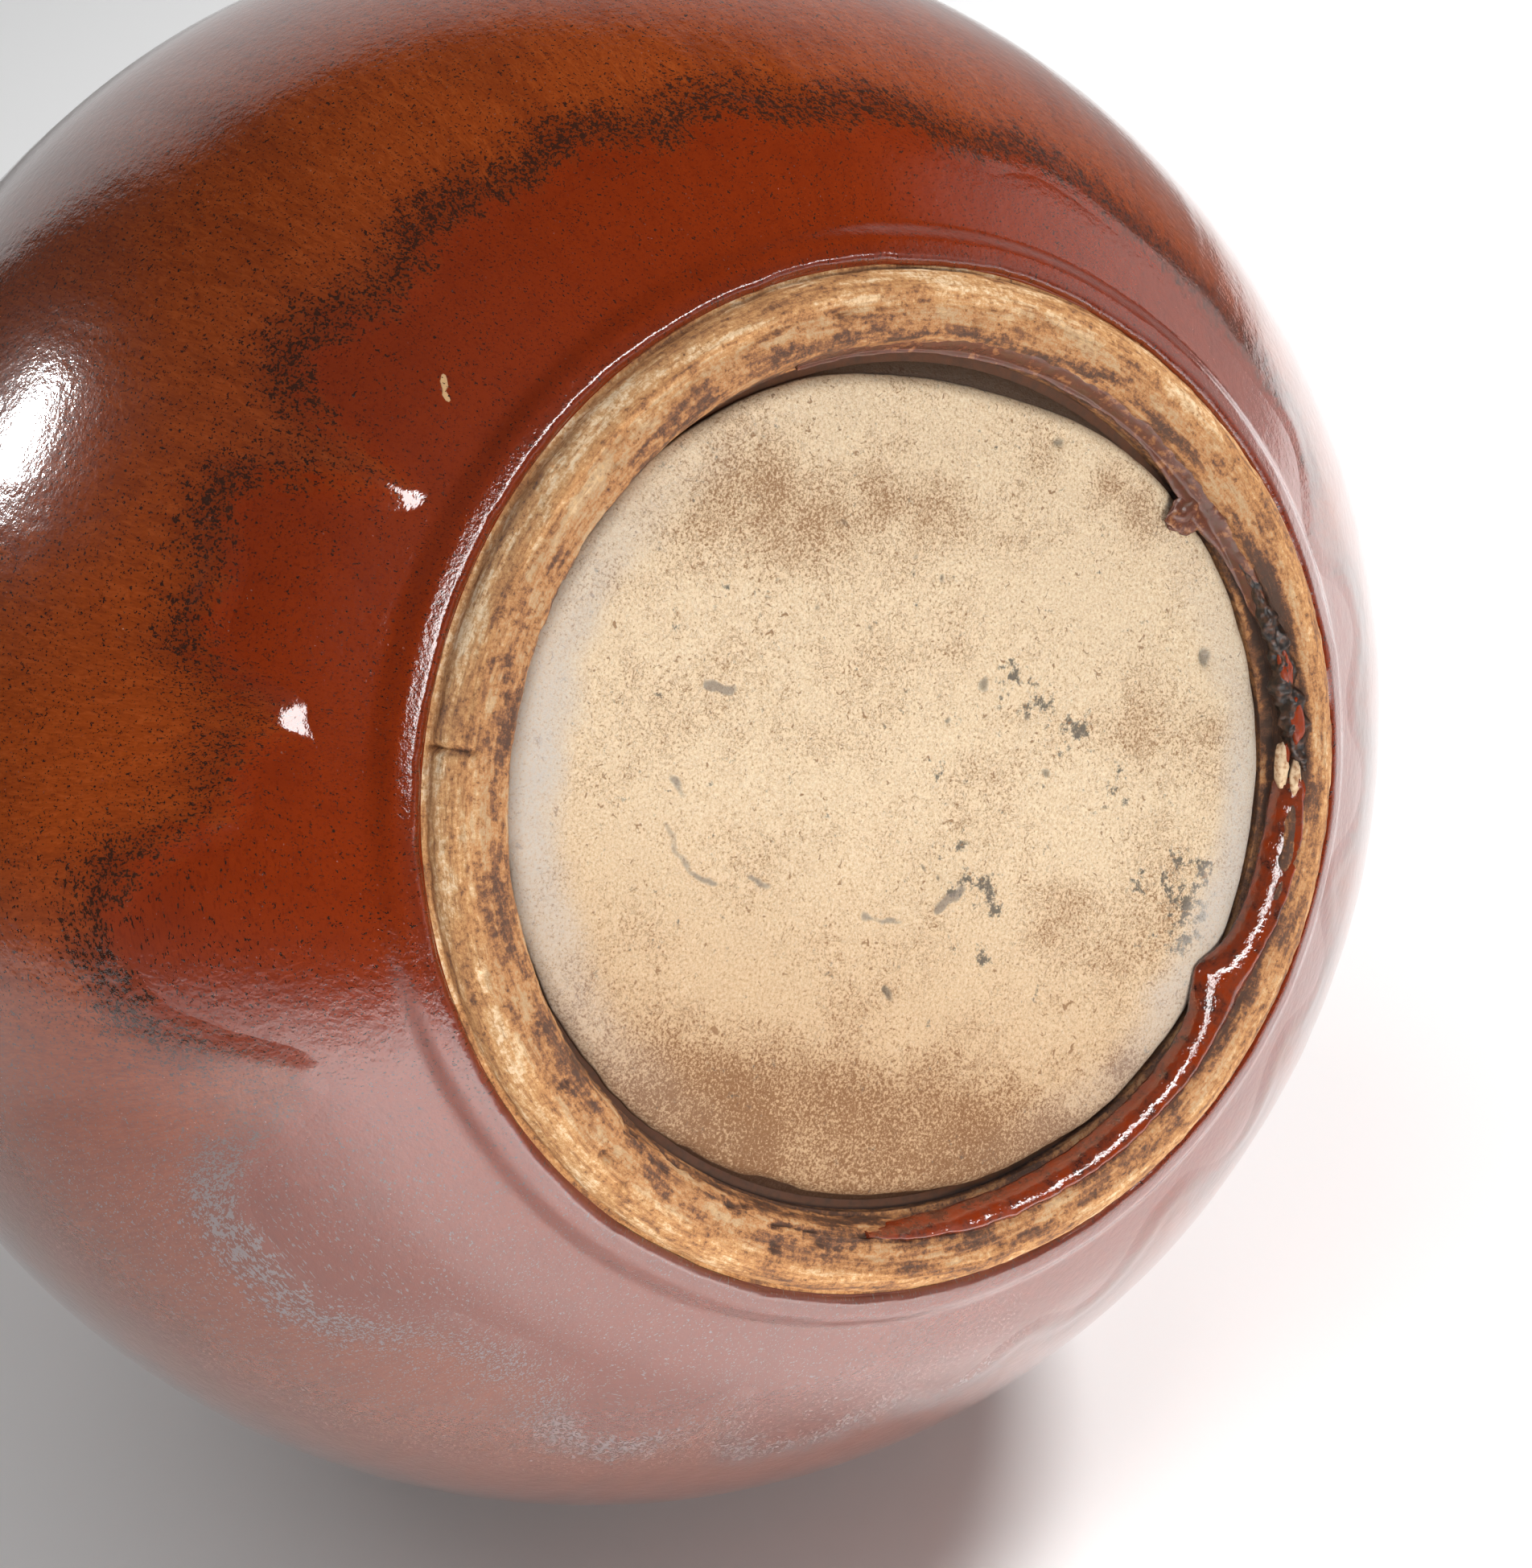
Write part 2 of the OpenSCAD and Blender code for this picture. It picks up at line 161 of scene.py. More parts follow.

# Soot inside the foot, partly painted shade of its hollow, and on its face, and what the base's edge has
# lost: compass angle, half width, amount
SOOT = ((352, 34, 0.7), (232, 40, 0.45), (70, 40, 0.5), (300, 30, 0.35))
FACE_SOOT = ((172, 22, 0.45), (95, 40, 0.5))
WORN_EDGE = ((357, 27, 3.0), (178, 30, 1.7))

# Directions in the vase's frame, of the camera's view and its right, and up from the table
VIEW = (-0.00815, 0.47144, 0.88186)
RIGHT = (0.22549, 0.86004, -0.45769)
TABLE_UP = (0.860, -0.396, -0.321)
TABLE_ROLL = 0.15
SENSOR = 36

# Lamps: place towards the camera, to the right and up, size, setting of the power, shown in reflections
LAMPS = (
    ("soft_box", (-170, -870, 495), (170, 140), "key", True),
    ("side_lamp", (-520, 720, 1000), (280, 280), "side", False),
    ("top_lamp", (350, -450, 1250), (1000, 1000), "top", False),
    ("fill_lamp", (1500, 700, 320), (1000, 300), "fill", False),
)

# Lamps that only reflections show: direction from the globe's centre, size, setting of the power
GLINTS = (
    ("catch_lamp", (0.09, -0.59, -0.80), (320, 170), "catch"),
    ("streak_lamp", (0.5, -0.2, -0.83), (500, 90), "streak"),
)
GLINT_FAR = 620

POLE = (0.0, 0.0, 1.0)
HASH = (73856093, 19349663, 83492791)
HASH_SEED = 7919
HASH_MIX = 1274126177

# Value of a mark that measures a distance, where that is too far to matter
FAR = 60.0

# Least height of grit over the plane that the vase stands on
STAND_CLEAR = 0.05

# Gap between the first glaze's inner side and the clay, and how deep the second glaze lies in the first
CLAY_GAP = 0.02
LAP = 0.05
FILM_LAP = 0.12

# Distance that the second glaze's rows cover, from the run edge to the belly
RUN_SPAN = 75

# Radius on which the flow of the glaze is laid out, and distance over which the tongues stop drawing it in
FLOW_R = 80
FLOW_FADE = 16


def edge_of(node, axis, end):
    """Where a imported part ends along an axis, in millimetres; end is 0 for its low side."""
    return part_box(node)[end][axis] / MM


GLOBE_Z = edge_of("lower_bowl", 2, 1)
CLAY_R = edge_of("lower_bowl", 0, 1)
FIRST_T = edge_of("first_glaze", 0, 1) - CLAY_R
# The second glaze is thinner by this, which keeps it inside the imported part's box
INSIDE_BOX = 0.05
SECOND_T = edge_of("second_glaze", 0, 1) - CLAY_R - FIRST_T - INSIDE_BOX
NECK_R = edge_of("neck_seam", 0, 1)
HEIGHT = edge_of("first_glaze", 2, 1)
FOOT_H = edge_of("foot_ring", 2, 1)
BASE_R = edge_of("base_disc", 0, 1)
BASE_Z = edge_of("base_disc", 2, 0)
BASE_TOP = edge_of("base_disc", 2, 1)
GROOVE_Z = edge_of("base_seam", 2, 0)


def length(name, default, note):
    """A size in metres, given in millimetres."""
    return FloatProperty(name=name, description=note, default=default * MM, min=0, unit="LENGTH", precision=5)


def colour(name, default, note):
    """A colour in linear light."""
    return FloatVectorProperty(
        name=name, description=note, default=default, min=0, max=1, size=3, subtype="COLOR")


def number(name, default, note):
    """A plain number."""
    return FloatProperty(name=name, description=note, default=default, min=0)


def angle(name, degrees, note):
    """An angle, given in degrees."""
    return FloatProperty(name=name, description=note, default=math.radians(degrees), subtype="ANGLE")


class VaseSizes(bpy.types.PropertyGroup):
    """Sizes of the modelled surfaces."""

    foot_r: length("Foot radius", 61.5, "Outside radius of the foot ring")
    foot_wall_h: length("Foot wall", 2, "Height of the foot ring's outer wall")
    bevel_w: length("Bevel width", 2.5, "Width of the foot ring's outer bevel")
    bevel_h: length("Bevel height", 3, "Height of the foot ring's outer bevel")
    face_w: length("Face width", 5.8, "Width of the face that the vase stands on")
    slope_w: length("Slope width", 1.4, "Width of the foot ring's inner slope")
    slope_h: length("Slope height", 5, "Height of the foot ring's inner slope")
    fillet: length("Shoulder curve", 12, "Radius of the curve from the shoulder to the neck")
    neck_wall: length("Neck wall", 5.5, "Thickness of the neck's clay")
    lip_flare: length("Lip flare", 3, "How far the lip turns out")
    lip_flare_r: length("Lip curve", 60, "Radius of the curve that turns the lip out")
    glaze_stop: length("Glaze stop", 0.6, "Height of the first glaze's edge above the foot's wall")
    roll_r: length("Glaze roll", 1.3, "Radius of the first glaze's rolled edge")
    roll_w: length("Roll width", 6, "Width over which the rolled edge falls back to the glaze behind it")
    film_t: length("Thin glaze", 0.3, "Thickness of the first glaze just behind its rolled edge")
    film_w: length("Thin width", 14, "Distance over which that thin glaze grows to its full thickness")
    run_line: length("Run line", 26, "Distance over the globe from the rolled edge to the run edge")
    run_swing: length("Run swing", 11, "How far the run edge swings up on one side")
    run_swing_at: angle("Run swing at", 230, "Compass angle of the high side of the run edge")
    run_stop: length("Run stop", 3, "Least distance from a tongue's tip to the rolled edge")
    run_toe: length("Run toe", 2, "How far the second glaze spreads past the run edge as a thin film")
    run_rise: length("Run rise", 4.5, "Width over which the second glaze rises from its edge to its ridge")
    run_fall: length("Run fall", 1.9, "Width over which it falls behind the ridge")
    run_full: length("Run full", 40, "Distance from its edge where the second glaze is full")
    bead: length("Bead", 0.9, "Height of the ridge along the run edge, at the tips of the tongues")
    ripple: length("Ripple", 0.05, "Depth of the ripple in the glaze")
    turning: length("Turning lines", 0.2, "Depth of the turning lines on the foot ring")
    grain: length("Clay grain", 0.1, "Depth of the grain on the bare clay")
    columns: IntProperty(name="Columns", description="Faces round a glaze", default=720, min=90)


class VaseColours(bpy.types.PropertyGroup):
    """Colours of the finishes, in linear light."""

    first: colour("First glaze", (0.19, 0.021, 0.002), "Red-brown glaze")
    first_dark: colour("First glaze, thick", (0.12, 0.011, 0.001), "Red-brown glaze where it is thick")
    haze: colour("Haze", (0.045, 0.014, 0.010), "Purple-brown haze along the rolled edge")
    second: colour("Second glaze", (0.25, 0.042, 0.005), "Orange-brown glaze")
    second_light: colour("Second glaze, thin", (0.33, 0.068, 0.012), "Light streaks in the second glaze")
    second_dark: colour("Second glaze, thick", (0.13, 0.018, 0.003), "Dark streaks in the second glaze")
    flake: colour("Flakes", (0.040, 0.012, 0.006), "Dark flakes in the glaze")
    # Painted reflection: the next two colours grey the glaze and lighten its flakes towards -X, where the
    # glaze faces the white table, partly taken as a matte crystal veil
    bloom_and_painted_reflection: colour("Bloom", (0.17, 0.105, 0.09), "Dull bloom over the glaze on the side away from the fire")
    flake_painted_reflection: colour("Frosted flakes", (0.20, 0.155, 0.15), "Flakes on the side away from the fire")
    inside: colour("Inside glaze", (0.21, 0.06, 0.015), "Glaze inside the vase")
    clay: colour("Clay", (0.60, 0.37, 0.18), "Fired clay")
    gold: colour("Golden clay", (0.60, 0.325, 0.135), "Golden clay on the foot's outer side")
    flash: colour("Flashed clay", (0.45, 0.205, 0.072), "Clay turned orange in the fire")
    grey: colour("Grey clay", (0.44, 0.29, 0.16), "Worn clay of the standing face")
    rust: colour("Rusty clay", (0.25, 0.105, 0.042), "Brown streaks in the clay")
    stain: colour("Stained clay", (0.085, 0.035, 0.018), "Clay soaked with glaze")
    base: colour("Base clay", (0.82, 0.63, 0.41), "Pale clay of the base disc")
    base_pale: colour("Pale base clay", (0.92, 0.78, 0.58), "Lightest grains of the base disc")
    base_warm: colour("Warm base clay", (0.60, 0.38, 0.20), "Warm part of the base disc")
    base_grain: colour("Base grain", (0.30, 0.15, 0.065), "Sandy grain of the base disc")
    iron: colour("Iron spots", (0.06, 0.03, 0.018), "Darkest spots in the clay")
    charcoal: colour("Charcoal", (0.10, 0.085, 0.07), "Carbon in the clay")
    scar: colour("Scars", (0.24, 0.195, 0.16), "Grey scars on the base disc")
    ash: colour("Ash", (0.62, 0.56, 0.50), "Grey ash on the rim of the base disc")
    run: colour("Run glaze", (0.16, 0.028, 0.010), "Thick glaze that ran inside the foot")
    film: colour("Film", (0.095, 0.028, 0.016), "Film of glaze in the groove")
    slag: colour("Slag", (0.012, 0.009, 0.008), "Black kiln slag")
    pale: colour("Pale flake", (0.56, 0.41, 0.26), "Broken clay")
    table: colour("Table", (0.96, 0.96, 0.96), "Table top")


class VaseStage(bpy.types.PropertyGroup):
    """Camera, table and lamps."""

    camera_distance: length("Camera distance", 495, "From the globe's centre to the camera")
    camera_tilt: angle("Camera tilt", 25.17, "Angle of the camera from the vase's axis")
    lens: number("Lens", 81.69, "Focal length in millimetres on a 36 mm sensor")
    table_reach: length("Table reach", 1000, "From the vase to the table's front edge")
    table_left: length("Table left", 690, "From the vase to the table's left edge")
    table_back: length("Table back", 2200, "From the vase to the table's far edges")
    key: number("Soft box", 5.0, "Power of the soft box at the left, in watts")
    side: number("Side lamp", 17.0, "Power of the high lamp at the right, in watts")
    top: number("Top lamp", 4.5, "Power of the wide lamp high at the left, in watts")
    fill: number("Fill lamp", 25.0, "Power of the wide lamp on the camera's side, in watts")
    catch: number("Catch lamp", 1.2, "Power of the lamp that the rolled edge reflects, in watts")
    streak: number("Streak lamp", 1.8, "Power of the lamp that the run in the foot reflects, in watts")
    front: number("Table lamp", 3.0, "Power of the lamp over the front of the table, in watts")
    room: number("Room light", 0.02, "Brightness of the dim room")


def lattice_noise(points, seed):
    """Smooth noise from -1 to 1 at each of many points."""
    cell = np.floor(points).astype(np.int64)
    part = points - cell
    blend = part * part * (3 - 2 * part)
    total = np.zeros(points.shape[:-1])
    for step in itertools.product((0, 1), repeat=3):
        key = (cell + step) @ np.array(HASH) + seed * HASH_SEED
        key = ((key ^ (key >> 13)) * HASH_MIX) & 0x7FFFFFFF
        value = ((key ^ (key >> 15)) & 0xFFFF) / 32767.5 - 1
        total += value * np.prod(np.where(step, blend, 1 - blend), axis=-1)
    return total


def noise(points, size, seed, layers):
    """Noise in ever finer layers; size is the coarsest grain."""
    total = sum(0.5**i * lattice_noise(points / size * 2**i, seed + i) for i in range(layers))
    return total / (2 - 0.5 ** (layers - 1))


def polar(r, degrees, z):
    """Points at radii, compass angles and heights."""
    a = np.radians(degrees)
    return np.stack(np.broadcast_arrays(r * np.cos(a), r * np.sin(a), z), -1).astype(float)


def turn(a, b):
    """Difference of two compass angles, from -180 to 180."""
    return (a - b + 180) % 360 - 180


def bell(x):
    return np.exp(-np.square(x))


def blunt(x):
    return np.exp(-np.abs(x) ** 3)


def about(degrees, at, width):
    """Bell round a compass angle."""
    return bell(turn(degrees, at) / width)


def patches(degrees, places):
    """Sum of bells, given as compass angle, half width and amount."""
    return sum(amount * about(degrees, at, width) for at, width, amount in places)


def smooth(x):
    x = np.clip(x, 0, 1)
    return x * x * (3 - 2 * x)


def blots(points, marks):
    """Strength at each point of marks given as compass angle, radius, size and strength."""
    total = np.zeros(points.shape[:-1])
    for degrees, r, size, strength in marks:
        away = points[..., :2] - polar(r, degrees, 0)[:2]
        total = np.maximum(total, strength * bell(np.hypot(away[..., 0], away[..., 1]) / size))
    return total


def along(rows, count):
    """Evenly many points along rows of values, by a smooth curve through them."""
    rows = np.array(rows, float)
    ends = np.vstack([2 * rows[0] - rows[1], rows, 2 * rows[-1] - rows[-2]])
    at = np.linspace(0, len(rows) - 1, count)
    i = np.minimum(at.astype(int), len(rows) - 2)
    f = (at - i)[:, None]
    a, b, c, d = (ends[i + k] for k in range(4))
    return b + 0.5 * f * (c - a + f * (2 * a - 5 * b + 4 * c - d + f * (3 * (b - c) + d - a)))


def unwrapped(rows):
    """Rows that start with a compass angle, with each angle near the one before."""
    angles = np.degrees(np.unwrap(np.radians([row[0] for row in rows])))
    return [(a, *row[1:]) for a, row in zip(angles, rows)]


def sheet_faces(rows, cols, capped):
    """Faces of a grid of points that is closed round its columns.

    The two points after a capped grid close its first and last row. The rows of any other go round too.
    """
    index = np.arange(rows * cols).reshape(rows, cols)
    first, last = index[0], index[-1]
    if not capped:
        index = np.vstack([index, index[:1]])
    index = np.hstack([index, index[:, :1]])
    quads = np.stack([index[:-1, :-1], index[:-1, 1:], index[1:, 1:], index[1:, :-1]], -1).reshape(-1, 4)
    faces = quads.tolist()
    if capped:
        top = rows * cols
        faces += [[top, b, a] for a, b in zip(first.tolist(), np.roll(first, -1).tolist())]
        faces += [[top + 1, a, b] for a, b in zip(last.tolist(), np.roll(last, -1).tolist())]
    return faces


def enclosed(points, faces):
    """Signed volume inside the faces."""
    total = 0.0
    for size in (3, 4):
        ring = np.array([f for f in faces if len(f) == size])
        for k in range(1, size - 1) if len(ring) else ():
            a, b, c = points[ring[:, 0]], points[ring[:, k]], points[ring[:, k + 1]]
            total += np.einsum("ij,ij->", a, np.cross(b, c))
    return total


def model(name, grid, nodes, finish, marks=None, capped=False):
    """A closed piece from a grid of points, with values at its points for the finish."""
    rows, cols = grid.shape[:2]
    points = grid.reshape(-1, 3)
    if capped:
        points = np.vstack([points, grid[0].mean(0), grid[-1].mean(0)])
    faces = sheet_faces(rows, cols, capped)
    if enclosed(points, faces) < 0:
        faces = [f[::-1] for f in faces]
    mesh = bpy.data.meshes.new(name)
    mesh.from_pydata((points * MM).tolist(), [], faces)
    mesh.shade_smooth()
    for label, value in (marks or {}).items():
        value = np.asarray(value, float)
        flat = value.reshape(rows * cols, -1)
        if capped:
            ends = [value[i].reshape(cols, -1).mean(0) for i in (0, -1)]
            flat = np.vstack([flat, *ends])
        kind, field = ("FLOAT_VECTOR", "vector") if flat.shape[1] == 3 else ("FLOAT", "value")
        mesh.attributes.new(label, kind, "POINT").data.foreach_set(field, flat.ravel())
    piece = bpy.data.objects.new(name, mesh)
    bpy.context.scene.collection.objects.link(piece)
    piece.data.materials.append(finish)
    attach(piece, "root")
    if nodes:
        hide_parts(*nodes)
    return piece


class Finish:
    """A material with one shader, and short calls for the nodes that drive it."""

    def __init__(self, name, sockets):
        self.material = bpy.data.materials.new(name)
        self.material.use_nodes = True
        self.tree = self.material.node_tree
        self.shader = self.tree.nodes["Principled BSDF"]
        for label, value in sockets.items():
            self.put(self.shader.inputs[label], value)

    def put(self, socket, value):
        if isinstance(value, bpy.types.NodeSocket):
            self.tree.links.new(value, socket)
        elif hasattr(value, "__len__") and socket.type == "RGBA":
            socket.default_value = (*value[:3], 1)
        else:
            socket.default_value = value

    def add(self, kind, inputs, out=0, **settings):
        node = self.tree.nodes.new("ShaderNode" + kind)
        for key, value in settings.items():
            setattr(node, key, value)
        for key, value in inputs.items():
            self.put(node.inputs[key], value)
        return node.outputs[out]

    def drive(self, label, value):
        self.put(self.shader.inputs[label], value)

    def mark(self, name, vector=False):
        return self.add("Attribute", {}, "Vector" if vector else "Fac", attribute_name=name)

    def place(self):
        """Place on the vase, in millimetres."""
        return self.scaled(self.add("TexCoord", {}, "Object"), (1000, 1000, 1000))

    def scaled(self, vector, by):
        return self.add("VectorMath", {0: vector, 1: by}, operation="MULTIPLY")

    def noise(self, vector, size, detail=3.0, rough=0.6, bend=0.0):
        return self.add("TexNoise", {
            "Vector": vector, "Scale": 1 / size, "Detail": detail, "Roughness": rough, "Distortion": bend,
        })

    def cells(self, vector, size, out="Distance"):
        return self.add("TexVoronoi", {"Vector": vector, "Scale": 1 / size}, out)

    def step(self, value, low, high, to_low=0.0, to_high=1.0):
        return self.add("MapRange", {0: value, 1: low, 2: high, 3: to_low, 4: to_high},
                        interpolation_type="SMOOTHSTEP")

    def math(self, operation, a, b):
        return self.add("Math", {0: a, 1: b}, operation=operation)

    def times(self, a, b):
        return self.math("MULTIPLY", a, b)

    def plus(self, a, b, share=1.0):
        """The first value and a share of the second."""
        return self.add("Math", {0: b, 1: share, 2: a}, operation="MULTIPLY_ADD")

    def mix(self, factor, a, b, blend="MIX"):
        return self.add("Mix", {0: factor, 6: a, 7: b}, 2, data_type="RGBA", blend_type=blend)

    def tint(self, shade, colour, value, low, high, amount=1.0):
        """A shade that turns towards a colour as a value goes from low to high."""
        return self.mix(self.step(value, low, high, 0, amount), shade, colour)

    def ramp(self, value, stops):
        node = self.tree.nodes.new("ShaderNodeValToRGB")
        self.put(node.inputs[0], value)
        elements = node.color_ramp.elements
        while len(elements) < len(stops):
            elements.new(0.5)
        for element, (at, shade) in zip(elements, stops):
            element.position = at
            element.color = (*shade[:3], 1)
        return node.outputs[0]

    def specks(self, vector, size, reach, share):
        """Mask of spots: one in some of the cells of a size, reaching a part of a cell."""
        near = self.step(self.cells(vector, size), reach, reach * 0.6)
        pick = self.add("SeparateColor", {0: self.cells(vector, size, "Color")})
        return self.times(near, self.step(pick, 1 - share, 1 - share + 0.01))

    def bump(self, height, distance, under=None):
        inputs = {"Height": height, "Distance": distance * MM, "Strength": 1.0}
        if under is not None:
            inputs["Normal"] = under
        return self.add("Bump", inputs)


def sizes():
    """The modelled surfaces' sizes in millimetres, by name."""
    group = bpy.context.scene.vase_sizes
    plain = {"columns", "run_swing_at"}
    names = [k for k in group.bl_rna.properties.keys() if k not in ("rna_type", "name")]
    return SimpleNamespace(**{k: getattr(group, k) / (1 if k in plain else MM) for k in names})


def glaze_turn(s):
    """Angle over the globe from the bottom to the middle of the first glaze's rolled edge."""
    z = s.bevel_h + s.foot_wall_h + s.glaze_stop
    return np.arccos((GLOBE_Z - z) / CLAY_R)


def run_turn(s, degrees):
    """Angle over the globe from the bottom to the run edge at compass angles."""
    arc = s.run_line + s.run_swing * np.cos(np.radians(degrees) - s.run_swing_at)
    for at, reach, width in TONGUES:
        arc = arc - reach * blunt(turn(degrees, at) / width)
    first_r = CLAY_R + FIRST_T
    return glaze_turn(s) + (s.roll_r + np.maximum(arc, s.run_stop) - s.run_toe) / first_r


def tip(degrees):
    """How near a compass angle is to the tip of a tongue, from 0 to 1."""
    near = sum(min(reach / 14, 1) * bell(1.3 * turn(degrees, at) / width) for at, reach, width in TONGUES)
    return np.clip(near, 0, 1)


def on_globe(bend, degrees, over):
    """Points over the clay globe at angles from the bottom, compass angles and heights over the clay."""
    r = CLAY_R + over
    return polar(r * np.sin(bend), degrees, GLOBE_Z - r * np.cos(bend))


def upper_rows(s, over_globe, over_lip):
    """Radius and height of a skin up the shoulder and neck; it may thin or thicken at the lip."""
    shoulder_x = NECK_R + s.fillet
    lean = np.arcsin(shoulder_x / (CLAY_R + s.fillet))
    shoulder_z = GLOBE_Z + (CLAY_R + s.fillet) * np.cos(lean)
    lip_turn = np.arccos(1 - s.lip_flare / s.lip_flare_r)
    lip_round = s.neck_wall / 2
    flare_z = HEIGHT - FIRST_T - lip_round - (s.lip_flare_r + lip_round) * np.sin(lip_turn)
    rows = []
    for bend in np.linspace(np.pi / 2, np.pi - lean, 14)[1:]:
        r = CLAY_R + over_globe
        rows.append((r * np.sin(bend), GLOBE_Z - r * np.cos(bend)))
    for bend in np.linspace(lean, np.pi / 2, 9)[1:]:
        r = s.fillet - over_globe
        rows.append((shoulder_x - r * np.sin(bend), shoulder_z - r * np.cos(bend)))
    for f in np.linspace(0, 1, 6)[1:]:
        rows.append((NECK_R + over_globe, shoulder_z + f * (flare_z - shoulder_z)))
    for f in np.linspace(0, 1, LIP_STEPS)[1:]:
        r = s.lip_flare_r - over_globe - (over_lip - over_globe) * f
        x = NECK_R + s.lip_flare_r - r * np.cos(f * lip_turn)
        rows.append((x, flare_z + r * np.sin(f * lip_turn)))
    return np.array(rows)


def lip_rows(s, over):
    """Radius and height of a skin round the outer half of the lip."""
    lip_turn = np.arccos(1 - s.lip_flare / s.lip_flare_r)
    lip_round = s.neck_wall / 2
    x = NECK_R + s.lip_flare_r - (s.lip_flare_r + lip_round) * np.cos(lip_turn)
    z = HEIGHT - FIRST_T - lip_round
    bend = np.linspace(-lip_turn, np.pi / 2 - lip_turn, LIP_STEPS)[1:]
    return np.stack([x + (lip_round + over) * np.cos(bend), z + (lip_round + over) * np.sin(bend)], -1)


def spun(rows, degrees):
    """Rows of radius and height turned round the axis."""
    return polar(rows[:, :1], degrees[None, :], rows[:, 1:])


def ripple(points, s):
    """Ripple of the glaze's surface."""
    return s.ripple * (noise(points, 14, 11, 2) + 0.35 * noise(points, 4, 17, 2))


def flow_marks(bend, degrees, away):
    """Coordinates round the globe and along the flow, in millimetres; the flow draws in to the tongues."""
    draw = np.zeros_like(bend)
    for at, _, width in TONGUES:
        off = turn(degrees, at)
        draw += 0.9 * off * bell(off / (1.8 * width))
    return polar(FLOW_R * np.ones_like(bend), degrees + draw * np.exp(-away / FLOW_FADE), CLAY_R * bend)


def edge_tree(s):
    """Search tree of points along the run edge."""
    degrees = np.arange(0, 360, 0.2)
    points = on_globe(run_turn(s, degrees), degrees, FIRST_T)
    tree = kdtree.KDTree(len(points))
    for i, p in enumerate(points):
        tree.insert(p, i)
    tree.balance()
    return tree


def edge_distance(points, tree):
    """Distance of each point from the run edge."""
    flat = points.reshape(-1, 3)
    return np.array([tree.find(p)[2] for p in flat.tolist()]).reshape(points.shape[:-1])


def film(s, bend):
    """Thickness of the first glaze behind its rolled edge, at angles over the globe from the bottom."""
    arc = CLAY_R * (bend - glaze_turn(s)) - s.roll_w
    return s.film_t + (FIRST_T - s.film_t) * smooth(arc / s.film_w)


def roll_rows(s, degrees):
    """Distances up the globe and heights over the clay of the first glaze's fat rolled edge."""
    ring = polar(60, degrees, 0)
    drip = about(degrees, *DRIP)
    fat = s.roll_r * (0.9 + 0.15 * noise(ring, 9, 31, 2) + 0.4 * drip)
    wander = 0.3 * noise(ring, 14, 37, 2) + 0.2 * noise(ring, 3, 39, 2) - 1.2 * drip
    crest = wander + 0.45
    for bend in np.linspace(0.02, np.pi / 2, 9):
        yield crest - 0.8 * fat * np.cos(bend), fat * np.sin(bend)
    for f in np.linspace(0, 1, 14)[1:]:
        yield crest * (1 - f) + s.roll_w * f, fat + (s.film_t - fat) * smooth((f - 0.3) / 0.7)


def first_coat(s):
    """The first glaze: outer skin with its rolled edge, and the inner side on the clay."""
    degrees = np.linspace(0, 360, int(s.columns), endpoint=False)
    start = glaze_turn(s)
    rolled = list(roll_rows(s, degrees))
    span = CLAY_R * (np.pi / 2 - start)
    arcs = np.concatenate([np.arange(s.roll_w + 0.4, 50, 0.95), np.linspace(50, span, 12)])
    bend = start + np.array([row[0] for row in rolled] + [arc + 0 * degrees for arc in arcs]) / CLAY_R
    over = film(s, bend)
    over[:len(rolled)] = [row[1] for row in rolled]
    across = np.broadcast_to(degrees, bend.shape)
    flat = on_globe(bend, across, over)
    calm = smooth((CLAY_R * (bend - start) - 0.5) / 3) * smooth((np.pi / 2 - bend) * 6)
    outer = on_globe(bend, across, over + ripple(flat, s) * calm)
    top = np.vstack([upper_rows(s, FIRST_T, FIRST_T), lip_rows(s, FIRST_T)])
    under = np.vstack([upper_rows(s, CLAY_GAP, CLAY_GAP), lip_rows(s, CLAY_GAP)])[::-3]
    low = np.linspace(np.pi / 2, bend[0].mean(), 8)
    low_r = CLAY_R + CLAY_GAP
    below = np.stack([low_r * np.sin(low), GLOBE_Z - low_r * np.cos(low)], -1)
    grid = np.concatenate([outer, spun(top, degrees), spun(under, degrees), spun(below, degrees)])
    n = len(bend)
    edge = edge_distance(outer, edge_tree(s))
    flow = np.concatenate([flow_marks(bend, across, edge), grid[n:]])
    foot = np.full(grid.shape[:2], FAR)
    foot[:n] = CLAY_R * (bend - start)
    return grid, {"flow": flow, "foot": foot, "chip": blots(grid, CHIP)}


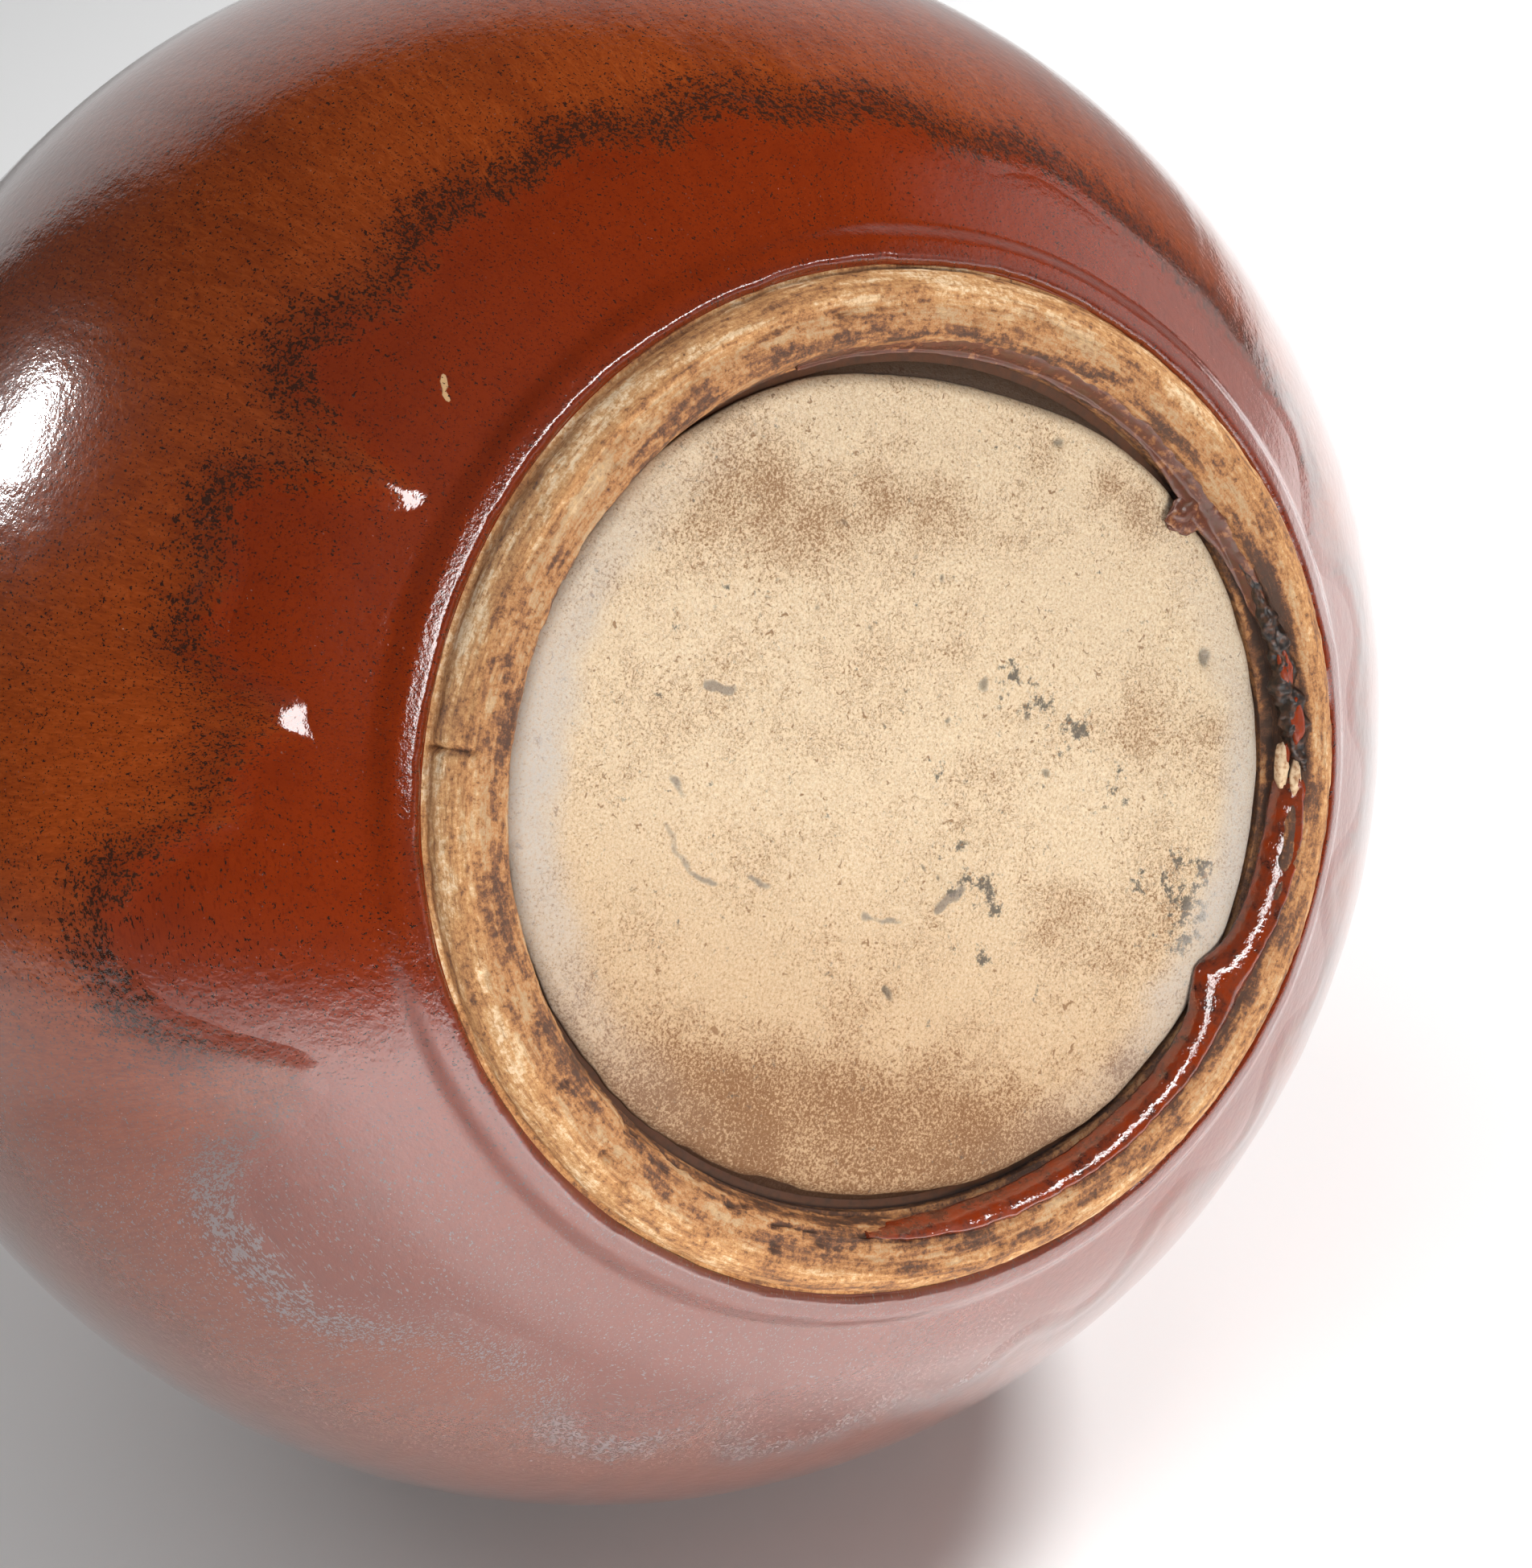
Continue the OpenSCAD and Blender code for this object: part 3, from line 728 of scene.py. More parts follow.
def second_coat(s):
    """The second glaze: a skin that rises softly from its run edge, with beads on the tips of its tongues."""
    degrees = np.linspace(0, 360, int(s.columns) * 5 // 4, endpoint=False)
    edge = run_turn(s, degrees)
    near, far_off = np.arange(0.8, 14, 0.55), np.arange(14.6, 40, 1.1)
    steps = np.concatenate([[0, 0.2, 0.45], near, far_off, np.linspace(42, RUN_SPAN, 12)])
    share = (steps / RUN_SPAN)[:, None]
    bend = edge * (1 - share) + np.pi / 2 * share
    across = np.broadcast_to(degrees, bend.shape)
    base = film(s, bend)
    flat = on_globe(bend, across, base)
    away = edge_distance(flat, edge_tree(s))
    full = 0.2 * smooth(away / 10) + 0.8 * smooth(away / s.run_full)
    uneven = np.clip(0.08 + 0.3 * noise(flat, 11, 53, 2), 0.02, 0.2)
    rise, fall = smooth(away / s.run_rise), bell((away - s.run_rise) / s.run_fall)
    ridge = np.where(away < s.run_rise, rise, fall)
    drop = 0.7 * tip(across) ** 2 * (0.15 + 0.85 * about(across, *BEADED))
    thick = SECOND_T * full + s.bead * (uneven + drop) * ridge - 0.05 * smooth(1 - away / 4)
    flow = flow_marks(bend, across, away)
    thick += 0.05 * noise(flow * (1, 1, 0.12), 3, 51, 2) * smooth(away / 9) * smooth((np.pi / 2 - bend) * 8)
    outer = on_globe(bend, across, base + ripple(flat, s) * smooth((np.pi / 2 - bend) * 6) + thick)
    top = upper_rows(s, FIRST_T + SECOND_T, FIRST_T + LAP)
    under = upper_rows(s, FIRST_T - LAP, FIRST_T - LAP)[::-3]
    low = np.linspace(0, 1, 9)[:, None]
    low = np.pi / 2 * (1 - low) + (edge + 0.02) * low
    below = on_globe(low, np.broadcast_to(degrees, low.shape), film(s, low) - FILM_LAP)
    grid = np.concatenate([outer, spun(top, degrees), spun(under, degrees), below])
    n = len(bend)
    flow = np.concatenate([flow, grid[n:]])
    far = np.full(grid.shape[:2], FAR)
    far[:n] = away
    tips = np.zeros(grid.shape[:2])
    tips[:n] = tip(across)
    return grid, {"flow": flow, "edge": far, "tips": tips}


def rounded(corners, gap):
    """Points along a line of corners, each (radius, height, rounding), at most gap apart."""
    out = []
    for i, (x, z, soft) in enumerate(corners):
        here = np.array((x, z))
        before, after = np.array(corners[i - 1][:2]), np.array(corners[(i + 1) % len(corners)][:2])
        if soft:
            a = here + soft * (before - here) / np.linalg.norm(before - here)
            b = here + soft * (after - here) / np.linalg.norm(after - here)
            f = np.linspace(0, 1, 6)[:, None]
            out.append((1 - f) ** 2 * a + 2 * f * (1 - f) * here + f**2 * b)
        else:
            out.append(here[None])
    points = np.vstack(out + [out[0][:1]])
    filled = []
    for a, b in zip(points, points[1:]):
        count = max(1, int(np.ceil(np.linalg.norm(b - a) / gap)))
        filled.append(a + (b - a) * np.arange(count)[:, None] / count)
    return np.vstack(filled)


def foot_ring(s):
    """The foot ring, with turning lines, a nick and pits cut into its clay."""
    degrees = np.linspace(0, 360, 1080, endpoint=False)
    foot_r = s.foot_r
    face_out = foot_r - s.bevel_w
    face_in = face_out - s.face_w
    hole = face_in - s.slope_w
    wall_z = s.bevel_h + s.foot_wall_h
    top_r = np.sqrt(CLAY_R**2 - (GLOBE_Z - FOOT_H) ** 2) - 0.05
    line = rounded([
        (hole, FOOT_H, 0), (hole, s.slope_h, 0.8), (face_in, 0, 1.3), (face_out, 0, 2.0),
        (foot_r, s.bevel_h, 1.4), (foot_r, wall_z, 0.15), (top_r, FOOT_H, 0),
    ], 0.3)
    hidden = (line[:, 1] > wall_z + 0.3) & (np.arange(len(line)) % 5 > 0)
    line = line[~hidden]
    tangent = np.roll(line, -1, 0) - np.roll(line, 1, 0)
    inward = np.stack([-tangent[:, 1], tangent[:, 0]], -1)
    inward /= np.linalg.norm(inward, axis=1, keepdims=True)
    middle = np.array(((face_in + face_out) / 2, FOOT_H / 2))
    inward *= np.sign(np.sum(inward * (middle - line), axis=1, keepdims=True))
    shown = (line[:, 1] < wall_z + 0.1)[:, None]
    gaps = np.linalg.norm(np.diff(line, axis=0, prepend=line[:1]), axis=1)
    travel = np.cumsum(gaps)[:, None]
    across = np.broadcast_to(degrees, (len(line), len(degrees)))
    r, z = line[:, :1] + 0 * across, line[:, 1:] + 0 * across
    flat = polar(r, across, z)
    turned = polar(5 + 0 * r, across, travel + 0 * r)
    face = smooth((1.6 - z) / 1.2)
    lines = noise(turned * (0.8, 0.8, 1), 1.3, 61, 4)
    rough = noise(flat, 1.6, 67, 4)
    depth = s.turning * np.clip(0.6 + lines, 0, 2)
    depth += s.grain * np.clip(1 + 1.6 * rough, 0, 3)
    depth += 0.3 * np.clip(noise(flat, 7, 71, 3) - 0.05, 0, 1)
    valley = 57.6 + 0.5 * noise(turned, 3, 63, 2)
    depth += 0.35 * bell((r - valley) / 0.6) * face * (0.35 + 0.65 * about(across, *VALLEY))
    ridged = np.abs((travel / 0.95 + 0.5 * noise(turned * (0.6, 0.6, 1), 2, 65, 2)) % 1 - 0.5)
    depth += 0.7 * ridged * face * about(across, *RIDGED)
    crumbled = np.clip(noise(flat, 3, 69, 4) - 0.12, 0, 1) * smooth((55.5 - r) / 2)
    depth += 1.6 * crumbled * (0.4 + about(across, *CRUMBLED))
    depth += 0.8 * about(across, *NICK) * smooth((r - 57) / 1.5)
    depth += 1.4 * blunt(turn(across, SLAG_BED[0]) / SLAG_BED[1]) * smooth((56.4 - r) / 1.5)
    depth += 0.55 * blunt(turn(across, RUN_BED[0]) / RUN_BED[1]) * smooth((55.6 - r) / 1.0)
    depth += blots(flat, RING_PITS) * face
    depth = np.clip(depth, 0, None) * shown
    soft = polar(r + inward[:, :1] * depth, across, z + inward[:, 1:] * depth)
    inner = smooth((57.2 - r) / 3)
    # Sooty towards the hole, partly painted shade of the hollow; on the inner slope, a painted shade that
    # deepens up into the hollow, except on one side
    soot = inner * (0.2 + patches(across, SOOT)) + patches(across, FACE_SOOT)
    soot += 0.5 * smooth((z - 1.2) / 2) * (r < 55) * (1 - about(across, *CLEAN_UNSHADED_SLOPE))
    return soft, {"ring": turned, "soot": soot, "depth": depth}


def base_edge(degrees):
    """Radius of the base disc's worn outline."""
    ring = polar(40, degrees, 0)
    ragged = 0.25 + 0.5 * about(degrees, *CRUMBLED)
    return BASE_R + 1.0 - patches(degrees, WORN_EDGE) - ragged * np.clip(0.4 + noise(ring, 5, 81, 4), 0, 2)


def near_lines(points, lines, width):
    """How near points are to lines of compass angles and radii, from 1 on a line to 0 well away from it."""
    away = np.full(points.shape[:-1], 99.0)
    for line in lines:
        for a, b in itertools.pairwise(polar(r, degrees, 0)[:2] for degrees, r in line):
            part = np.clip((points[..., :2] - a) @ (b - a) / ((b - a) @ (b - a)), 0, 1)
            off = points[..., :2] - a - part[..., None] * (b - a)
            away = np.minimum(away, np.hypot(off[..., 0], off[..., 1]))
    return bell(away / width)


def base_disc(s):
    """The base disc, with its shallow dents, ridges, pits and rounded edge."""
    degrees = np.linspace(0, 360, 720, endpoint=False)
    edge = base_edge(degrees)
    share = np.concatenate([np.linspace(0.01, 0.9, 116), np.linspace(0.9, 0.966, 8)[1:]])
    rim = [(0.9745, 0.06), (0.983, 0.25), (0.990, 0.55), (0.9955, 0.95), (0.999, 1.45), (1, 1.95)]
    rows = [(f * edge, BASE_Z + 0 * edge) for f in share]
    rows += [(f * edge, BASE_Z + up + 0 * edge) for f, up in rim]
    back = [(BASE_R, GROOVE_Z + 0.1), (BASE_R, BASE_TOP), (BASE_R / 2, BASE_TOP), (0.5, BASE_TOP)]
    rows += [(far + 0 * edge, up + 0 * edge) for far, up in back]
    r, z = np.array([row[0] for row in rows]), np.array([row[1] for row in rows])
    across = np.broadcast_to(degrees, r.shape)
    flat = polar(r, across, z)
    face = smooth((BASE_Z + 2 - z) / 1.5)
    worn_flat = flat + np.stack([1.2 * noise(flat, 3, 85, 3), 1.2 * noise(flat, 3, 87, 3), 0 * r], -1)
    ridge = near_lines(worn_flat, SCARS, 0.5) * np.clip(0.75 + 1.2 * noise(flat, 4, 89, 3), 0, 1) * face
    pits = blots(worn_flat, BASE_PITS) * face
    depth = blots(flat, DENTS) + pits
    depth += s.grain * (noise(flat, 2.2, 91, 3) + 0.8 * noise(flat, 12, 97, 2))
    depth += 0.25 * smooth((r / edge - 0.8) / 0.2) * (1 + noise(flat, 9, 99, 2))
    left, right = about(across, *LEFT_RIM), about(across, *RIGHT_RIM)
    swell = 0.9 * smooth((r / edge - 0.55) / 0.35) - 0.7 * smooth((r / edge - 0.93) / 0.07)
    lift = 0.25 * ridge + right * swell
    grid = polar(r, across, z + (depth - lift) * face)
    border = smooth((r / edge - 0.83 - 0.04 * noise(flat, 6, 95, 2)) / 0.1)
    # Darker towards -X, the disc's lower side: partly brown stain, partly painted shade
    low = smooth((-flat[..., 0] - 26 + 2 * noise(flat, 8, 93, 2)) / 14)
    stain = np.maximum(blots(flat, STAINS), low)
    return grid, {
        "ridge": ridge, "pits": pits, "smear": blots(flat, SMEARS), "stain": stain,
        "ash": border * np.clip(left + right, 0, 1),
        "side": 1 - face,
    }


def glaze_strip(places, seed, full):
    """Strip of glaze on the foot's inner slope, from rows of angle, inner and outer radius and thickness.

    A full strip is round and fills the corner, and any other lies on the slope as a thin film.
    """
    a, inner, outer, thick = along(unwrapped(places), 400).T
    ring = polar(50, a, 0)
    thick = np.clip(thick * (1 + 0.25 * noise(ring, 3.5, seed, 2)), 0.05, None)
    inner = inner + 0.25 * noise(ring, 2.5, seed + 2, 3)
    outer = outer + 0.35 * noise(ring, 2.0, seed + 6, 3)
    f = np.linspace(0, 1, 19)[:, None]
    r = outer * (1 - f) + inner * f
    deepest = BASE_Z - 0.9
    hump = np.sin(np.pi * f) ** 0.85 * thick * 1.2
    if full:
        skin_r = r - hump * 0.35
        skin_z = 0.12 + 3.6 * f**1.7 + 0.6 * (1 - smooth(f / 0.12)) + 0 * a
    else:
        skin_r = r - hump * 0.7
        slope = np.minimum(0.55 + 4.2 * smooth((53.9 - r) / 2.4), deepest)
        skin_z = np.maximum(slope - hump * 0.6, 0.06)
    back = np.array((0.85, 0.5, 0.15))[:, None]
    back_r = outer * (1 - back) + inner * back + 0.9
    back_z = 1.2 + deepest * back + 0 * a
    grid = polar(np.vstack([skin_r, back_r]), a[None, :], np.vstack([skin_z, back_z]))
    return np.swapaxes(grid, 0, 1)


def tube(line, size, sides, rough):
    """A knobbly tube of a size at each point of a line, thinner at its ends."""
    points = np.array(line)
    tangent = np.gradient(points, axis=0)
    tangent /= np.linalg.norm(tangent, axis=1, keepdims=True)
    across = np.cross(tangent, POLE)
    across /= np.linalg.norm(across, axis=1, keepdims=True)
    up = np.cross(across, tangent)
    spin = np.linspace(0, 2 * np.pi, sides, endpoint=False)
    f = np.linspace(0, 1, len(points))
    swell = size * (0.25 + 0.75 * np.sin(np.pi * f) ** 0.4)
    ring = across[:, None] * np.cos(spin)[None, :, None] + up[:, None] * np.sin(spin)[None, :, None]
    ring = ring * swell[:, None, None]
    lumps = 1 + rough * noise(points[:, None] + 1.5 * ring, 1.6, 113, 3)
    grid = points[:, None] + ring * lumps[..., None]
    grid[..., 2] = np.maximum(grid[..., 2], STAND_CLEAR)
    return grid


def lump(degrees, r, z, size, seed, flat, rough, rows=14, cols=20):
    """A knobbly lump at a place on the vase; flat gives its reach inwards, around and up."""
    theta = np.linspace(0.12, np.pi - 0.12, rows)[:, None]
    phi = np.linspace(0, 2 * np.pi, cols, endpoint=False)[None, :]
    level = np.sin(theta)
    unit = np.stack(np.broadcast_arrays(level * np.cos(phi), level * np.sin(phi), np.cos(theta)), -1)
    swell = 1 + rough * noise(unit + seed * 3.1, 0.7, seed, 3)
    local = unit * swell[..., None] * np.array(flat) * size
    a = np.radians(degrees)
    turned = local @ np.array(((np.cos(a), np.sin(a), 0), (-np.sin(a), np.cos(a), 0), (0, 0, 1)))
    grid = turned + polar(r, degrees, z)
    grid[..., 2] = np.maximum(grid[..., 2], STAND_CLEAR)
    return grid


def look():
    """Colours of the finishes."""
    return bpy.context.scene.vase_colours


GLOSS = {
    "Roughness": 0.25, "Specular IOR Level": 0.12,
    "Coat Weight": 1.0, "Coat Roughness": 0.075, "Coat IOR": 1.85,
}


def flake_mask(f, flow, crowd):
    """Ragged flakes in a glaze, more of them where they crowd."""
    long = f.scaled(flow, (1, 1, 0.75))
    large = f.plus(f.noise(long, 0.55, 3, 0.65), crowd, 0.11)
    small = f.plus(f.noise(long, 0.3, 2, 0.6), crowd, 0.09)
    return f.math("MAXIMUM", f.step(large, 0.64, 0.66), f.step(small, 0.625, 0.645))


def skin(f, place, foam=None):
    """Fine bumps of a glaze skin, which break the edges of its highlights, and foam along its rolled edge."""
    low = f.bump(f.noise(place, 1.4, 3, 0.7), 0.065)
    pits = f.bump(f.specks(place, 0.5, 0.2, 0.06), 0.03, low)
    if foam is None:
        return pits
    bubbles = f.times(f.noise(place, 0.6, 3, 0.7), foam)
    return f.bump(bubbles, 0.05, pits)


def first_shade(f, flow, place):
    """Red-brown of the first glaze."""
    c = look()
    streak = f.noise(f.scaled(flow, (1, 1, 0.2)), 1.6, 4)
    shade = f.tint(c.first, c.first_dark, streak, 0.4, 0.8, 0.3)
    shade = f.tint(shade, c.first_dark, f.noise(flow, 0.5, 3, 0.7), 0.52, 0.64, 0.55)
    return f.tint(shade, c.first_dark, f.noise(place, 9), 0.45, 0.8, 0.35)


def glaze(f, place, shade, flakes, bumps):
    """Colour, bumps and flakes of a glaze; towards -X, the side that faces the table, the glaze greys and its
    flakes lighten, a painted reflection of the white table, partly taken as a matte crystal veil.
    """
    c = look()
    x = f.add("SeparateXYZ", {0: place})
    # Painted reflection of the white table towards -X, partly taken as a matte crystal veil: the glaze turns
    # greyer
    shade = f.tint(shade, c.bloom_and_painted_reflection, x, -25, -80, 0.5)
    # Painted reflection of the white table: flakes lighter towards -X
    f.drive("Base Color", f.mix(flakes, shade, f.tint(c.flake, c.flake_painted_reflection, x, -40, -75)))
    f.drive("Normal", bumps)
    f.drive("Coat Normal", bumps)


def first_finish():
    """Red-brown glaze with haze and foam along its rolled edge, and a scratch."""
    c = look()
    f = Finish("first_glaze_finish", GLOSS)
    flow, place, foot = f.mark("flow", True), f.place(), f.mark("foot")
    shade = first_shade(f, flow, place)
    shade = f.tint(shade, c.haze, foot, 2.4, 0.4, 0.25)
    shade = f.tint(shade, c.clay, f.mark("chip"), 0.45, 0.55)
    flakes = flake_mask(f, flow, -0.1)
    glaze(f, place, shade, flakes, skin(f, place, f.step(foot, 3.2, 1.8)))
    return f.material


def second_finish():
    """Orange-brown glaze that thins out over the first, with flakes crowded along the run edge."""
    c = look()
    f = Finish("second_glaze_finish", GLOSS)
    flow, place = f.mark("flow", True), f.place()
    edge, tips = f.mark("edge"), f.mark("tips")
    hair = f.noise(f.scaled(flow, (1, 1, 0.2)), 0.6, 4, 0.7, 1.4)
    broad = f.noise(f.scaled(flow, (1, 1, 0.3)), 6, 4)
    shade = f.tint(c.second, c.second_light, hair, 0.48, 0.66, 0.6)
    shade = f.tint(shade, c.second_dark, hair, 0.5, 0.34, 0.5)
    shade = f.tint(shade, c.second_dark, broad, 0.48, 0.72, 0.4)
    wander = f.step(f.noise(f.scaled(flow, (1, 1, 0.4)), 1.4, 5, 0.75), 0.3, 0.7, -2.5, 2.5)
    inside = f.plus(edge, wander)
    shade = f.mix(f.step(inside, 1.5, 8), first_shade(f, flow, place), shade)
    crowd = f.times(f.step(inside, 2.0, 5.0), f.step(inside, 14, 6))
    crowd = f.times(crowd, f.step(tips, 0.2, 1.0, 1.0, 0.4))
    shade = f.mix(f.times(crowd, 0.75), shade, c.second_dark)
    glaze(f, place, shade, flake_mask(f, flow, crowd), skin(f, place))
    return f.material


def foot_finish():
    """Bare clay of the foot ring, golden outside and grey with wear, rusty and sooty inside, with painted
    shade on its inner slope and in its cuts and pits.
    """
    c = look()
    f = Finish("foot_clay_finish", {"Roughness": 0.8, "IOR": 1.45})
    place, ring = f.place(), f.mark("ring", True)
    far = f.add("VectorMath", {0: f.scaled(place, (1, 1, 0))}, "Value", operation="LENGTH")
    long = f.noise(f.scaled(ring, (0.8, 0.8, 1)), 0.9, 5, 0.7)
    line = f.noise(f.scaled(ring, (2, 2, 1)), 0.6, 5, 0.75)
    grain = f.noise(place, 0.8, 6, 0.8)
    patch = f.noise(f.scaled(ring, (3, 3, 1)), 2.4, 5, 0.6)
    # Darkness of the clay: random tone and wear, the sooty mark, and a darkening where the clay is cut
    # deeper, which is painted shade in its cuts, pits and valley
    wear_and_shade = f.plus(f.step(patch, 0.32, 0.7, -0.08, 0.10), f.step(f.mark("depth"), 0.3, 1.2, -0.02, 0.12))
    for part, share in ((long, 0.2), (line, 0.25), (grain, 0.55), (f.mark("soot"), 0.09)):
        wear_and_shade = f.plus(wear_and_shade, part, share)
    golden = f.ramp(wear_and_shade, (
        (0.36, c.base), (0.45, c.gold), (0.53, c.flash), (0.59, c.rust), (0.66, c.stain),
    ))
    dull = f.ramp(wear_and_shade, (
        (0.34, c.clay), (0.43, c.grey), (0.50, c.flash), (0.56, c.rust), (0.62, c.stain), (0.70, c.iron),
    ))
    outer = f.plus(far, f.step(long, 0.3, 0.7, -1.5, 1.5))
    shade = f.mix(f.step(outer, 56.2, 59.5), dull, golden)
    shade = f.tint(shade, c.rust, line, 0.54, 0.66, 0.55)
    f.drive("Base Color", f.tint(shade, c.stain, grain, 0.57, 0.68, 0.75))
    f.drive("Roughness", f.step(wear_and_shade, 0.4, 0.7, 0.85, 0.55))
    under = f.bump(line, 0.25)
    f.drive("Normal", f.bump(grain, 0.25, under))
    return f.material


def base_finish():
    """Pale sandy clay of the base disc, with stains, smears, scars and ash, darker towards its lower side
    partly by painted shade, with painted shade on its side wall in the groove and in its pits.
    """
    c = look()
    f = Finish("base_clay_finish", {"Roughness": 0.85, "IOR": 1.45})
    place = f.place()
    cloud = f.step(f.noise(place, 10, 5, 0.6), 0.2, 0.8, 0.4, 0.6)
    grain = f.noise(place, 0.38, 5, 0.8)
    crack = f.noise(place, 3.2, 6, 0.75, 1.6)
    x = f.add("SeparateXYZ", {0: place})
    # Darkness of the disc: cloudy tone, and the stain mark, which towards -X is partly painted shade
    wear_and_shade = f.plus(cloud, f.mark("stain"), 0.22)
    shade = f.ramp(grain, ((0.34, c.base_pale), (0.5, c.base), (0.68, c.base_warm)))
    shade = f.tint(shade, c.base_warm, wear_and_shade, 0.48, 0.74, 0.5)
    speck = f.plus(grain, wear_and_shade, 0.6)
    shade = f.tint(shade, c.base_grain, speck, 0.88, 0.95, 0.9)
    hair = f.math("ABSOLUTE", f.math("SUBTRACT", crack, 0.5), 0)
    hair = f.times(f.step(hair, 0.016, 0.005), f.step(wear_and_shade, 0.46, 0.6, 0.2, 0.85))
    shade = f.mix(hair, shade, c.base_grain)
    # Darker and warmer towards -X, the disc's lower side: partly brown stain, partly painted shade
    shade = f.mix(f.step(x, 5, -40, 0, 0.45), shade, c.base_warm, "MULTIPLY")
    grit = f.plus(f.noise(place, 1.8, 8, 0.8), f.mark("smear"), 0.16)
    shade = f.tint(shade, c.charcoal, grit, 0.6, 0.68, 0.9)
    shade = f.tint(shade, c.base_grain, f.noise(place, 1.1, 3, 0.6, 0.8), 0.645, 0.69, 0.85)
    # Pits darkened: partly iron spots, partly painted shade in the pits
    shade = f.tint(shade, c.charcoal, f.mark("pits"), 0.1, 0.4, 0.7)
    shade = f.tint(shade, c.scar, f.mark("ridge"), 0.15, 0.6, 0.75)
    ash = f.mark("ash")
    shade = f.mix(f.times(ash, f.step(grain, 0.62, 0.42, 0.45, 0.9)), shade, c.ash)
    # Painted shade of the groove: the disc's rim and side wall turn to stained clay, except under the ash
    painted_groove_shade = f.times(f.step(f.mark("side"), 0.3, 0.9), f.step(ash, 0.6, 0.2, 0.3, 0.9))
    f.drive("Base Color", f.mix(painted_groove_shade, shade, c.stain))
    under = f.bump(cloud, 0.6)
    f.drive("Normal", f.bump(grain, 0.4, under))
    return f.material


def run_finish():
    """Thick dark red glaze inside the foot."""
    c = look()
    gloss = {"Roughness": 0.08, "IOR": 1.7, "Coat Weight": 0.6, "Coat Roughness": 0.05}
    f = Finish("run_glaze_finish", gloss)
    place = f.place()
    mottle = f.noise(place, 2.2, 6, 0.7)
    f.drive("Base Color", f.ramp(mottle, ((0.36, c.first), (0.5, c.run), (0.66, c.haze))))
    under = f.bump(f.noise(place, 1.6, 3), 0.2)
    f.drive("Normal", f.bump(f.specks(place, 0.9, 0.22, 0.3), 0.06, under))
    return f.material


def film_finish():
    """Purple-brown film of glaze in the groove."""
    c = look()
    f = Finish("film_finish", {"Roughness": 0.22, "IOR": 1.5})
    place = f.place()
    mottle = f.noise(place, 2, 6, 0.7)
    f.drive("Base Color", f.ramp(mottle, ((0.36, c.rust), (0.46, c.film), (0.62, c.stain))))
    f.drive("Normal", f.bump(f.noise(place, 0.8, 4), 0.1))
    return f.material


def plain_finish(name, base, dark, rough, size):
    """Mottled finish of one colour."""
    f = Finish(name, {"Roughness": rough, "IOR": 1.5})
    place = f.place()
    f.drive("Base Color", f.mix(f.step(f.noise(place, size, 4), 0.4, 0.7), base, dark))
    f.drive("Normal", f.bump(f.noise(place, size / 2, 3), 0.06))
    return f.material


class VaseOperator:
    """What the steps that add pieces have in common."""

    bl_options = {"REGISTER", "UNDO"}


class VASE_OT_first_glaze(VaseOperator, bpy.types.Operator):
    """Model the red-brown glaze with its rolled lower edge"""

    bl_idname = "vase.first_glaze"
    bl_label = "First Glaze"

    def execute(self, context):
        grid, marks = first_coat(sizes())
        model("first_coat", grid, ["first_glaze"], first_finish(), marks)
        return {"FINISHED"}


class VASE_OT_second_glaze(VaseOperator, bpy.types.Operator):
    """Model the orange-brown glaze that runs down in tongues"""

    bl_idname = "vase.second_glaze"
    bl_label = "Second Glaze"

    def execute(self, context):
        grid, marks = second_coat(sizes())
        model("second_coat", grid, ["second_glaze"], second_finish(), marks)
        return {"FINISHED"}


class VASE_OT_foot_ring(VaseOperator, bpy.types.Operator):
    """Model the turned foot ring"""

    bl_idname = "vase.foot_ring"
    bl_label = "Foot Ring"

    def execute(self, context):
        grid, marks = foot_ring(sizes())
        model("turned_foot", grid, ["foot_ring"], foot_finish(), marks)
        return {"FINISHED"}


class VASE_OT_base_disc(VaseOperator, bpy.types.Operator):
    """Model the inset base disc"""

    bl_idname = "vase.base_disc"
    bl_label = "Base Disc"

    def execute(self, context):
        grid, marks = base_disc(sizes())
        model("base_slab", grid, ["base_disc"], base_finish(), marks, True)
        return {"FINISHED"}


class VASE_OT_foot_run(VaseOperator, bpy.types.Operator):
    """Model the glaze that ran inside the foot, and the film and tab of glaze by the groove"""

    bl_idname = "vase.foot_run"
    bl_label = "Foot Run"

    def execute(self, context):
        run = glaze_strip(RUN, 101, True)
        model("foot_glaze_run", run, ["foot_run"], run_finish(), capped=True)
        thin = film_finish()
        model("groove_film", glaze_strip(FILM, 131, False), [], thin, capped=True)
        tab = lump(*TAB, 1.0, 5, (2.6, 2.2, 0.6), 0.7, 24, 36)
        model("groove_tab", tab, [], thin, capped=True)
        return {"FINISHED"}


